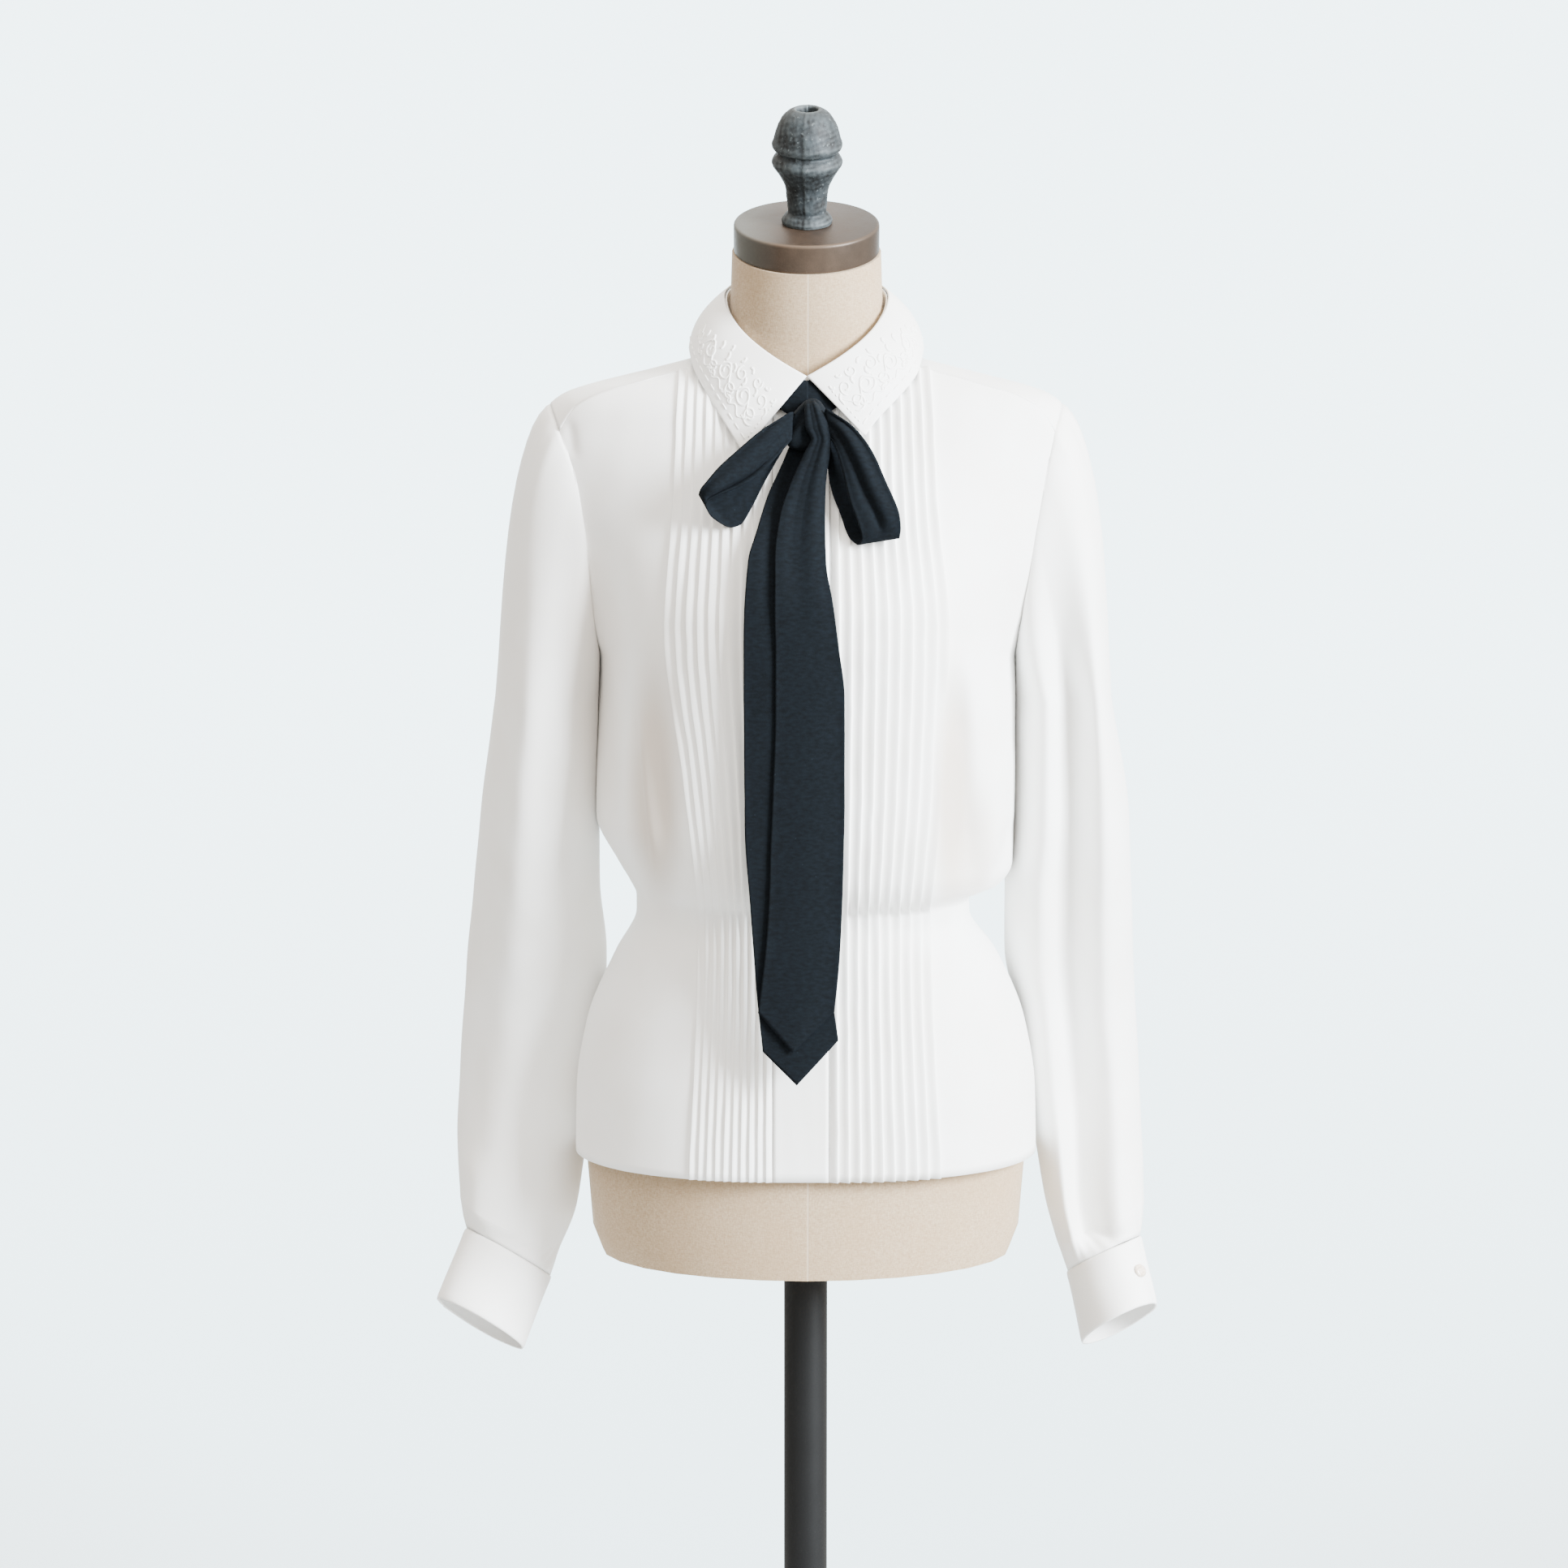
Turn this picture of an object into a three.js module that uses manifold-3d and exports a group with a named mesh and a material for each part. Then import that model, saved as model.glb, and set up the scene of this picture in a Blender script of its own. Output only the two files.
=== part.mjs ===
// A long-sleeved blouse with a pin-tucked front, a pointed collar and a neck tie, worn by a limbless dress form on its stand.
// Millimetres, +Z up, the front faces -Y, and the wearer's right side is at -X. Every cloth piece is a wall of its own.
import * as THREE from "three";
import { mergeVertices } from "three/addons/utils/BufferGeometryUtils.js";
import Module from "manifold-3d";

const CLOTH = 1.2; // wall of the blouse, outwards from the body surface below
const TIE_CLOTH = 1.2;
const SEAM = 0.3; // each piece stops this far short of a seam line
const TUCKS = 10; // pin tucks on each front
const TUCK_RISE = 1.3;
const TUCK_CREST = 0.74; // where in its pitch a tuck stands highest
const PLACKET = { from: -23.8, to: 15.6 }; // edges of the front band
const BAND_CLOTH = 1.7;
const UNDERARM = 1222;
const SHOULDER = { half: 183, y: 3, z: 1403 }; // crown of the armhole
const YOKE_END = { frontY: -35, frontZ: 1384, backZ: 1338 };
const NECK_CORNER = 62; // where the neck seam meets the front yoke seam, from the middle
const NECK = { half: 66, y: -2.1, deep: 58.1, back: 1447 };
const FOLD = { half: 56.5, y: -8, deep: 57.5 }; // the ring where the collar turns over
const AROUND = 24; // columns round a sleeve or a cuff

// The body surface by height: half widths on the wearer's right and left, where the side or armhole
// edge lies for the front and the back, the middle of front and back, and how square the side is.
const BODY = [
  { z: 858, right: 168, left: 168, frontSide: 4, backSide: 4, front: -111, back: 120, corner: 0.5 },
  { z: 905, right: 167, left: 167, frontSide: 4, backSide: 4, front: -111, back: 120, corner: 0.5 },
  { z: 955, right: 159, left: 159, frontSide: 4, backSide: 4, front: -107, back: 112, corner: 0.5 },
  { z: 1005, right: 138, left: 138, frontSide: 4, backSide: 4, front: -100, back: 98, corner: 0.5 },
  { z: 1036, right: 122.5, left: 118, frontSide: 4, backSide: 4, front: -95, back: 87, corner: 0.5 },
  { z: 1048, right: 122.5, left: 118, frontSide: 4, backSide: 4, front: -97, back: 88, corner: 0.5 },
  { z: 1058, right: 127, left: 141, frontSide: 4, backSide: 4, front: -107, back: 96, corner: 0.5 },
  { z: 1072, right: 135, left: 149, frontSide: 4, backSide: 4, front: -114, back: 102, corner: 0.5 },
  { z: 1107, right: 151.5, left: 150, frontSide: 4, backSide: 4, front: -120, back: 106, corner: 0.5 },
  { z: 1222, right: 149, left: 151, frontSide: 5, backSide: 5, front: -125, back: 103, corner: 0.5 },
  { z: 1236, right: 150, left: 151.5, frontSide: -20, backSide: 26, front: -126, back: 102, corner: 0.66 },
  { z: 1255, right: 152, left: 154, frontSide: -36, backSide: 42, front: -126, back: 101, corner: 0.84 },
  { z: 1285, right: 155, left: 159, frontSide: -45, backSide: 54, front: -119, back: 101, corner: 1 },
  { z: 1318, right: 158.5, left: 164, frontSide: -48, backSide: 61, front: -106, back: 100, corner: 1.1 },
  { z: 1350, right: 163, left: 169, frontSide: -45, backSide: 64, front: -91, back: 94, corner: 1.1 },
  { z: 1384, right: 175, left: 176, frontSide: -35, backSide: 56, front: -73, back: 80, corner: 1.05 },
  { z: 1406, right: 184, left: 184, frontSide: -24, backSide: 40, front: -62, back: 70, corner: 1 },
  { z: 1434, right: 184, left: 184, frontSide: -9, backSide: 20, front: -26, back: 60, corner: 1 },
];
const FLATNESS = 2.5; // a higher number makes the front and back flatter between the sides

// The outer edge of the tucked band on each side.
const BAND = [
  { z: 858, right: 84, left: 96 },
  { z: 1039, right: 77, left: 88 },
  { z: 1137, right: 86, left: 95 },
  { z: 1250, right: 100, left: 99 },
  { z: 1330, right: 95, left: 92 },
  { z: 1420, right: 92, left: 89 },
];
const FRONT_NECK = [
  { x: 0, z: 1406 },
  { x: 20, z: 1409 },
  { x: 40, z: 1417 },
  { x: 62, z: 1434 },
];
const YOKE_SEAM = [
  { x: 62, z: 1434 },
  { x: 81, z: 1429 },
  { x: 119, z: 1419 },
  { x: 142, z: 1412.5 },
  { x: 162, z: 1403 },
  { x: 168, z: 1396.5 },
  { x: 176, z: 1384 },
];
const PANEL_HEIGHTS = [
  858, 905, 955, 1005, 1036, 1048, 1058, 1072, 1107, 1145, 1185, 1222, 1236, 1255, 1285, 1318, 1350, 1384,
];
const BACK_HEIGHTS = [
  858, 905, 955, 1005, 1036, 1048, 1058, 1072, 1107, 1145, 1185, 1222, 1236, 1255, 1285, 1312, 1338,
];

// Rows down each sleeve below its head: outer and inner edge, the two fold lines between them on the
// front, the middle of the tube front to back with its half depth, and how far the row leans to the cuff.
const SLEEVES = {
  right: {
    side: -1,
    valley: false,
    cuff: { x: 221.5, y: 26, z: 772, half: 35, deep: 29, outward: 19.5, forward: 24, drop: 47, slope: 0.58, pitch: 0.35, button: 21, lift: 1.6 },
    rows: [
      { z: 1192, out: 225, fold1: 199, fold2: 176, inn: 150, y: 4, deep: 53, lean: 0 },
      { z: 1106, out: 237, fold1: 206, fold2: 183, inn: 152, y: 12, deep: 50, lean: 0 },
      { z: 1052, out: 243, fold1: 210, fold2: 185, inn: 152, y: 22, deep: 47, lean: 0 },
      { z: 1000, out: 249, fold1: 214, fold2: 187, inn: 148, y: 34, deep: 44, lean: 0 },
      { z: 955, out: 253, fold1: 218, fold2: 188, inn: 149, y: 43, deep: 42, lean: 0 },
      { z: 905, out: 257, fold1: 223, fold2: 190, inn: 156, y: 47, deep: 41, lean: 0 },
      { z: 857, out: 259, fold1: 231, fold2: 192, inn: 165, y: 43, deep: 39, lean: 0.15 },
      { z: 824, out: 258, fold1: 240, fold2: 195, inn: 172, y: 37, deep: 36, lean: 0.4 },
      { z: 796, out: 256, fold1: 243, fold2: 203, inn: 184, y: 31, deep: 32, lean: 0.55 },
    ],
  },
  left: {
    side: 1,
    valley: true,
    cuff: { x: 222.5, y: 28, z: 770.5, half: 29, deep: 34, outward: 10, forward: 24, drop: 46, slope: 0.5, pitch: 0.33, button: 3, lift: 0.8 },
    rows: [
      { z: 1192, out: 221, fold1: 208, fold2: 190, inn: 152, y: 4, deep: 53, lean: 0 },
      { z: 1106, out: 235, fold1: 214, fold2: 192, inn: 152, y: 12, deep: 50, lean: 0 },
      { z: 1052, out: 238, fold1: 216, fold2: 192, inn: 147, y: 22, deep: 47, lean: 0 },
      { z: 1000, out: 241, fold1: 218, fold2: 193, inn: 148, y: 34, deep: 44, lean: 0 },
      { z: 955, out: 244, fold1: 221, fold2: 196, inn: 157, y: 43, deep: 42, lean: 0 },
      { z: 905, out: 248, fold1: 226, fold2: 200, inn: 163, y: 47, deep: 41, lean: 0 },
      { z: 857, out: 250, fold1: 229, fold2: 202, inn: 173, y: 43, deep: 39, lean: 0.15 },
      { z: 824, out: 251, fold1: 230, fold2: 203, inn: 180, y: 38, deep: 37, lean: 0.35 },
      { z: 796, out: 251, fold1: 232, fold2: 208, inn: 188, y: 32, deep: 35, lean: 0.45 },
    ],
  },
};
const HEAD_STEPS = [0, 0.08, 0.24, 0.45, 0.72]; // from the armhole seam to the first row above
const HEAD_PUFF = 15;
const SLEEVE_CLEAR = 2.7; // from the body surface to the outside of a sleeve that lies along it

// The collar by angle from the middle front: height of its fold, and its outer edge.
const COLLAR_FOLD = [
  { angle: 0, z: 1424 },
  { angle: 21, z: 1436 },
  { angle: 42, z: 1449 },
  { angle: 71, z: 1468 },
  { angle: 95, z: 1481 },
  { angle: 130, z: 1489 },
  { angle: 180, z: 1492 },
];
const COLLAR_EDGE = [
  { angle: 3, x: 45, y: -84, z: 1373 },
  { angle: 30, x: 62, y: -66, z: 1400 },
  { angle: 62, x: 79, y: -38, z: 1430 },
  { angle: 95, x: 83, y: 2, z: 1444 },
  { angle: 125, x: 70, y: 42, z: 1445 },
  { angle: 152, x: 40, y: 65, z: 1442 },
  { angle: 180, x: 0, y: 73, z: 1440 },
];

// The dress form by height: its trunk up to the ridge of the shoulders, and its neck with how far a ring tips
// to the leaning cap. The trunk is cut back to lie just under the yoke.
const TRUNK = [
  { z: 782, half: 150, front: -96, back: 104 },
  { z: 800, half: 157, front: -100, back: 110 },
  { z: 850, half: 161, front: -104, back: 114 },
  { z: 905, half: 158, front: -103, back: 112 },
  { z: 955, half: 148, front: -99, back: 104 },
  { z: 1005, half: 127, front: -91, back: 90 },
  { z: 1042, half: 113, front: -87, back: 80 },
  { z: 1080, half: 117, front: -92, back: 83 },
  { z: 1150, half: 129, front: -108, back: 92 },
  { z: 1222, half: 140, front: -119, back: 97 },
  { z: 1255, half: 144, front: -121, back: 97 },
  { z: 1285, half: 150, front: -112, back: 97 },
  { z: 1318, half: 155, front: -97, back: 93 },
  { z: 1350, half: 160, front: -78, back: 84 },
  { z: 1384, half: 169, front: -52, back: 66 },
  { z: 1402, half: 174, front: -36, back: 52 },
  { z: 1412, half: 166, front: -27, back: 44 },
  { z: 1419, half: 150, front: -21, back: 37 },
  { z: 1428, half: 120, front: -14, back: 28 },
  { z: 1432, half: 88, front: -8, back: 18 },
  { z: 1434.5, half: 66, front: -5, back: 12 },
];
const FORM_NECK = [
  { z: 1370, half: 52, front: -48, back: 52, tip: 0 },
  { z: 1405, half: 57, front: -54, back: 50, tip: 0 },
  { z: 1425, half: 57.5, front: -55, back: 47, tip: 0.02 },
  { z: 1449, half: 56, front: -57, back: 43.5, tip: 0.1 },
  { z: 1470, half: 54.5, front: -60, back: 41.5, tip: 0.18 },
  { z: 1512.5, half: 53, front: -65.6, back: 35.4, tip: 0.344 },
];
const FORM_CLEAR = 0.45; // between the form's shoulders and the underside of the yoke
const CAP = { radius: 51.8, height: 20.5, round: 2.2, tilt: 19 };
// Half widths of the cast finial up its axis.
const FINIAL = [
  { up: 0, radius: 17.6 },
  { up: 2, radius: 18 },
  { up: 5, radius: 16.4 },
  { up: 8.5, radius: 13 },
  { up: 13, radius: 14.1 },
  { up: 20, radius: 15.2 },
  { up: 26, radius: 16.6 },
  { up: 32.4, radius: 19.3 },
  { up: 38.5, radius: 22 },
  { up: 42, radius: 24.2 },
  { up: 45, radius: 25 },
  { up: 48, radius: 24 },
  { up: 51.5, radius: 22.2 },
  { up: 54.5, radius: 24.2 },
  { up: 57.5, radius: 25 },
  { up: 61, radius: 23.8 },
  { up: 69, radius: 20.5 },
  { up: 77, radius: 16 },
  { up: 81, radius: 11.8 },
  { up: 82.8, radius: 8.4 },
  { up: 82.4, radius: 6.6 },
  { up: 75, radius: 5.6 },
];
const BASE = { radius: 190, height: 30, crown: 24 };
const POLE_RADIUS = 16;

// The tie: the two tails by height, and the loops from the knot to their far ends.
const TAIL_FRONT = {
  point: { left: 0, middle: -28, right: 1 },
  rows: [
    { z: 985, left: -34, right: 19.5, y: -137.5 },
    { z: 1010, left: -31, right: 22, y: -138 },
    { z: 1050, left: -27.5, right: 24, y: -138 },
    { z: 1125, left: -24.5, right: 26, y: -138 },
    { z: 1205, left: -22, right: 26, y: -138 },
    { z: 1240, left: -22, right: 22, y: -138 },
    { z: 1270, left: -22.5, right: 18, y: -136.5 },
    { z: 1300, left: -22.5, right: 13, y: -128 },
    { z: 1330, left: -19, right: 10.5, y: -115 },
    { z: 1350, left: -12.5, right: 11, y: -105.5 },
    { z: 1374.5, left: -5, right: 12, y: -95.2 },
  ],
};
const TAIL_BACK = {
  point: { left: 0, middle: -24, right: 8 },
  rows: [
    { z: 957, left: -31, right: 22, y: -134.5 },
    { z: 1000, left: -35, right: 17, y: -135 },
    { z: 1050, left: -39, right: 13, y: -135 },
    { z: 1125, left: -43.5, right: 8, y: -135 },
    { z: 1233, left: -44, right: 6, y: -135 },
    { z: 1265, left: -43.5, right: 4, y: -132.9 },
    { z: 1300, left: -41, right: 2, y: -124 },
    { z: 1320, left: -35, right: 0, y: -114.8 },
    { z: 1342, left: -28, right: -2, y: -101.8 },
    { z: 1366, left: -15, right: -4, y: -88.5 },
  ],
};
const KNOT = { x: 1.5, y: -89.5, z: 1392, half: 15, front: 9.5, back: 17.9, high: 18 };
const LOOPS = {
  right: { x: -20, y: -95.5, z: 1390, toX: -66, toY: -113, toZ: 1333, near: 8, far: 22, open: 6.5 },
  left: { x: 24.9, y: -95.5, z: 1388, toX: 51.4, toY: -117, toZ: 1322, near: 9, far: 19, open: 6.5 },
};
const TIE_BAND = { half: 63.2, y: -6, deep: 62.5, high: 13, from: 22 };
const BUTTON = { radius: 5.2, thick: 2.6 };
const FRONT_BUTTONS = [1318, 1238, 1160, 1082, 985]; // heights of the front buttons

const wasm = await Module();
wasm.setup();

const { lerp, clamp, smoothstep, degToRad } = THREE.MathUtils;
const point = (x, y, z) => new THREE.Vector3(x, y, z);
const range = (n) => Array.from({ length: n + 1 }, (_, i) => i / n);

/** A column of a table read at a height, angle or width, along a smooth curve that never overshoots its rows. */
function read(rows, key, column, at) {
  const last = rows.length - 1;
  if (at <= rows[0][key]) return rows[0][column];
  if (at >= rows[last][key]) return rows[last][column];
  const i = rows.findIndex((row) => row[key] > at) - 1;
  const slope = (k) => (rows[k + 1][column] - rows[k][column]) / (rows[k + 1][key] - rows[k][key]);
  const tangent = (k) => {
    if (k === 0) return slope(0);
    if (k === last) return slope(last - 1);
    const before = slope(k - 1);
    const after = slope(k);
    return before * after <= 0 ? 0 : (2 * before * after) / (before + after);
  };
  const span = rows[i + 1][key] - rows[i][key];
  const t = (at - rows[i][key]) / span;
  return (
    rows[i][column] * (1 + 2 * t) * (1 - t) ** 2 +
    tangent(i) * span * t * (1 - t) ** 2 +
    rows[i + 1][column] * t * t * (3 - 2 * t) +
    tangent(i + 1) * span * t * t * (t - 1)
  );
}

/** Triangles between two lines of points, the first forwards and the second backwards, kept level by length. */
function zip(faces, points, a, b) {
  const lengths = (line) => {
    const sums = [0];
    for (let i = 1; i < line.length; i++) sums.push(sums[i - 1] + points[line[i]].distanceTo(points[line[i - 1]]));
    return sums.map((s) => s / sums[sums.length - 1]);
  };
  const [la, lb] = [lengths(a), lengths(b)];
  let [i, j] = [0, 0];
  while (i < a.length - 1 || j < b.length - 1) {
    if (j === b.length - 1 || (i < a.length - 1 && la[i + 1] <= lb[j + 1] + 1e-9)) faces.push(a[i], a[++i], b[j]);
    else faces.push(a[i], b[j + 1], b[j++]);
  }
}

/** A closed wall between an outer and an inner sheet, each a list of rows of points. A ring's rows close on themselves. */
function wall(outer, inner, ring = false) {
  const points = [...outer.flat(), ...inner.flat()];
  const faces = [];
  const sheet = (rows, start, turned) => {
    const n = rows[0].length;
    const index = rows.map((row, r) => row.map((_, c) => start + r * n + c));
    if (ring) index.forEach((row) => row.push(row[0]));
    for (let r = 0; r < rows.length - 1; r++)
      for (let c = 0; c < index[r].length - 1; c++) {
        const [a, b, d, e] = [index[r][c], index[r][c + 1], index[r + 1][c], index[r + 1][c + 1]];
        faces.push(...(turned ? [a, e, b, a, d, e] : [a, b, e, a, e, d]));
      }
    return index;
  };
  const out = sheet(outer, 0, false);
  const inn = sheet(inner, outer.length * outer[0].length, true);
  zip(faces, points, out[out.length - 1], inn[inn.length - 1]);
  zip(faces, points, inn[0], out[0]);
  if (!ring) {
    const end = (index, which) => index.map((row) => row[which ? row.length - 1 : 0]);
    zip(faces, points, end(out, 0), end(inn, 0));
    zip(faces, points, end(inn, 1), end(out, 1));
  }
  return closed(points, faces);
}

/** A geometry of points and faces, turned so that its faces point out. */
function closed(points, faces) {
  let volume = 0;
  for (let i = 0; i < faces.length; i += 3)
    volume += points[faces[i]].dot(points[faces[i + 1]].clone().cross(points[faces[i + 2]]));
  if (volume < 0) for (let i = 0; i < faces.length; i += 3) [faces[i], faces[i + 1]] = [faces[i + 1], faces[i]];
  const geometry = new THREE.BufferGeometry().setFromPoints(points);
  geometry.setIndex(faces);
  geometry.computeVertexNormals();
  return geometry;
}

/** A solid skinned over rings of points, with a fan at each end. */
function loft(rings) {
  const n = rings[0].length;
  const middle = (ring) => ring.reduce((sum, p) => sum.add(p), point(0, 0, 0)).divideScalar(n);
  const points = [...rings.flat(), middle(rings[0]), middle(rings[rings.length - 1])];
  const faces = [];
  for (let r = 0; r < rings.length - 1; r++)
    for (let c = 0; c < n; c++) {
      const [a, b] = [r * n + c, r * n + ((c + 1) % n)];
      faces.push(a, b, b + n, a, b + n, a + n);
    }
  const top = (rings.length - 1) * n;
  for (let c = 0; c < n; c++) {
    faces.push(c, points.length - 2, (c + 1) % n);
    faces.push(top + c, top + ((c + 1) % n), points.length - 1);
  }
  return closed(points, faces);
}

/** A sheet moved along its own normals, by a distance that may change from place to place. */
function moved(rows, distance, ring = false) {
  const at = (r, c) => {
    const row = rows[clamp(r, 0, rows.length - 1)];
    return ring ? row[(c + row.length) % row.length] : row[clamp(c, 0, row.length - 1)];
  };
  return rows.map((row, r) =>
    row.map((p, c) => {
      const across = at(r, c + 1).clone().sub(at(r, c - 1));
      const up = at(r + 1, c).clone().sub(at(r - 1, c));
      const by = typeof distance === "number" ? distance : distance(r, c);
      return p.clone().addScaledVector(across.cross(up).normalize(), by);
    }),
  );
}

const sideName = (side) => (side < 0 ? "right" : "left");
const halfWidth = (side, z) => read(BODY, "z", sideName(side), z);

/** The body surface at a width and height, on the front (face -1) or the back (face 1). */
function skin(side, face, x, z) {
  const across = clamp(x / halfWidth(side, z), 0, 1);
  const edge = read(BODY, "z", face < 0 ? "frontSide" : "backSide", z);
  const middle = read(BODY, "z", face < 0 ? "front" : "back", z);
  const y = edge + (middle - edge) * (1 - across ** FLATNESS) ** read(BODY, "z", "corner", z);
  return point(side * x, y + (face * SEAM) / 2, z);
}

/** How far out the body surface reaches at a depth and height; 0 where there is no cloth, as inside an armhole. */
function reach(side, y, z) {
  const face = y < read(BODY, "z", "frontSide", z) ? -1 : 1;
  const edge = read(BODY, "z", face < 0 ? "frontSide" : "backSide", z);
  const middle = read(BODY, "z", face < 0 ? "front" : "back", z);
  const share = (y - edge) / (middle - edge);
  if (share < 0 || share > 1) return 0;
  return halfWidth(side, z) * (1 - share ** (1 / read(BODY, "z", "corner", z))) ** (1 / FLATNESS);
}

/** Height of a front's top edge: the neck seam, then the yoke seam. */
const topEdge = (x) => (x < NECK_CORNER ? read(FRONT_NECK, "x", "z", x) : read(YOKE_SEAM, "x", "z", x));

/** Distance from the middle of a front's column at a height: 0 to 1 over the tucked band, 1 to 2 on to the side. */
function columnX(side, column, z, start) {
  const band = read(BAND, "z", sideName(side), z);
  if (column <= 1) return lerp(start, band, column);
  const half = halfWidth(side, z);
  return half * Math.sin(lerp(Math.asin(clamp(band / half, 0, 1)), Math.PI / 2, column - 1));
}

function frontSheet(side, columns) {
  const start = (side < 0 ? -PLACKET.from : PLACKET.to) + SEAM;
  const top = YOKE_END.frontZ;
  return PANEL_HEIGHTS.map((height) => {
    const lift = smoothstep(height, UNDERARM + 40, top);
    return columns.map((column) => {
      let z = height;
      let x = columnX(side, column, z, start);
      for (let i = 0; i < 4; i++) {
        z = height + lift * (topEdge(x) - SEAM - top);
        x = columnX(side, column, z, start);
      }
      return skin(side, -1, x, z);
    });
  });
}

function front(side) {
  const tucks = [0];
  for (let i = 0; i < TUCKS; i++) tucks.push((i + TUCK_CREST) / TUCKS, (i + 1) / TUCKS);
  const plain = [1.2, 1.4, 1.6, 1.8, 1.92, 2];
  const fine = frontSheet(side, [...tucks, ...plain]);
  const rise = (r, c) => side * (CLOTH + (c % 2 && c < tucks.length ? TUCK_RISE : 0));
  return wall(moved(fine, rise), frontSheet(side, [0, 0.35, 0.7, 1, ...plain]));
}

/** The front band's rows of points under its cloth, at some widths. */
function placketRows(xs) {
  return PANEL_HEIGHTS.map((height) =>
    xs.map((x) => {
      const lift = smoothstep(height, UNDERARM + 40, YOKE_END.frontZ);
      const z = height + lift * (topEdge(Math.abs(x)) - SEAM - YOKE_END.frontZ);
      return skin(Math.sign(x), -1, Math.abs(x), z);
    }),
  );
}

function placket() {
  const rows = placketRows([PLACKET.from + 0.02, -9, 2, PLACKET.to - 0.02]);
  return wall(moved(rows, BAND_CLOTH), rows);
}

function backSheet(columns) {
  return BACK_HEIGHTS.map((height) => {
    const z = Math.min(height, YOKE_END.backZ - SEAM);
    return columns.map((column) => {
      const side = column < 0 ? -1 : 1;
      return skin(side, 1, halfWidth(side, z) * Math.sin((Math.abs(column) * Math.PI) / 2), z);
    });
  });
}

function back() {
  const fine = range(14).map((t) => 2 * t - 1);
  const coarse = range(10).map((t) => 2 * t - 1);
  return wall(moved(backSheet(fine), -CLOTH), backSheet(coarse));
}

/** The armhole over the shoulder, from the front yoke seam (y low) to the back one. */
function shoulderEdge(side, y) {
  const isFront = y < SHOULDER.y;
  const endZ = isFront ? YOKE_END.frontZ : YOKE_END.backZ;
  const endY = isFront ? YOKE_END.frontY : read(BODY, "z", "backSide", endZ);
  const share = ((y - SHOULDER.y) / (endY - SHOULDER.y)) ** 2;
  return point(
    side * lerp(SHOULDER.half, halfWidth(side, endZ), share),
    y,
    lerp(SHOULDER.z, endZ, share),
  );
}

/** The neck seam on the yoke, by angle from the middle front. */
function neckSeam(side, angle) {
  const a = degToRad(angle);
  const share = clamp((180 - angle) / 110, 0, 1);
  const x = NECK.half * Math.sin(a);
  return point(side * x, NECK.y - NECK.deep * Math.cos(a), NECK.back - 13 * share ** 1.5);
}

/** A point of the yoke: along 0 at the front seam to 1 at the middle back, across 0 at the neck to 1 at its outer edge. */
function yokePoint(side, along, across) {
  const frontAngle = 70;
  const inner = neckSeam(side, lerp(frontAngle, 180, along ** 0.9));
  const corner = 0.55;
  const backY = read(BODY, "z", "backSide", YOKE_END.backZ);
  const outer =
    along < corner
      ? shoulderEdge(side, lerp(YOKE_END.frontY, backY, along / corner))
      : skin(side, 1, halfWidth(side, YOKE_END.backZ) * Math.cos((((along - corner) / (1 - corner)) * Math.PI) / 2), YOKE_END.backZ);
  const p = inner.clone().lerp(outer, across);
  const overShoulder = 1 - smoothstep(along, 0.35, 0.75);
  p.z += 7 * across * (1 - across ** 12) * overShoulder;
  p.y += 22 * across * (1 - across) * (1 - overShoulder);
  const seamX = lerp(Math.abs(neckSeam(side, frontAngle).x), halfWidth(side, YOKE_END.frontZ), across);
  const seam = skin(side, -1, seamX, topEdge(seamX));
  const start = neckSeam(side, frontAngle).lerp(shoulderEdge(side, YOKE_END.frontY), across);
  start.z += 7 * across * (1 - across ** 12);
  return p.addScaledVector(seam.sub(start), (1 - clamp(along / 0.2, 0, 1)) ** 2);
}

function yokeRows() {
  const along = [0.008, 0.06, 0.13, 0.21, 0.3, 0.4, 0.48, 0.55, 0.66, 0.77, 0.88, 1];
  const across = [0, 0.22, 0.45, 0.68, 0.86, 0.95, 0.998];
  const line = [...along.map((a) => [-1, a]), ...along.slice(0, -1).reverse().map((a) => [1, a])];
  return across.map((r) => line.map(([side, a]) => yokePoint(side, a, r)));
}

function yoke() {
  const rows = yokeRows();
  return wall(moved(rows, CLOTH), rows);
}

/** The armhole seam as a ring, from the crown of the shoulder round by the front to the underarm and up the back. */
function armhole(side) {
  const steps = range(40);
  const backY = read(BODY, "z", "backSide", YOKE_END.backZ);
  const edge = (column, face, z) => point(side * halfWidth(side, z), read(BODY, "z", column, z), z);
  const down = [
    ...steps.map((t) => shoulderEdge(side, lerp(SHOULDER.y, YOKE_END.frontY, t))),
    ...steps.map((t) => edge("frontSide", -1, lerp(YOKE_END.frontZ, UNDERARM, t))),
  ];
  const up = [
    ...steps.map((t) => edge("backSide", 1, lerp(UNDERARM, YOKE_END.backZ, t))),
    ...steps.map((t) => shoulderEdge(side, lerp(backY, SHOULDER.y, t))),
  ];
  const spread = (line) => {
    const path = new THREE.CatmullRomCurve3(line.filter((p, i) => i === 0 || p.distanceTo(line[i - 1]) > 0.01));
    return path.getSpacedPoints(AROUND / 2);
  };
  return [...spread(down).slice(0, -1), ...spread(up).slice(0, -1)];
}

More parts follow.
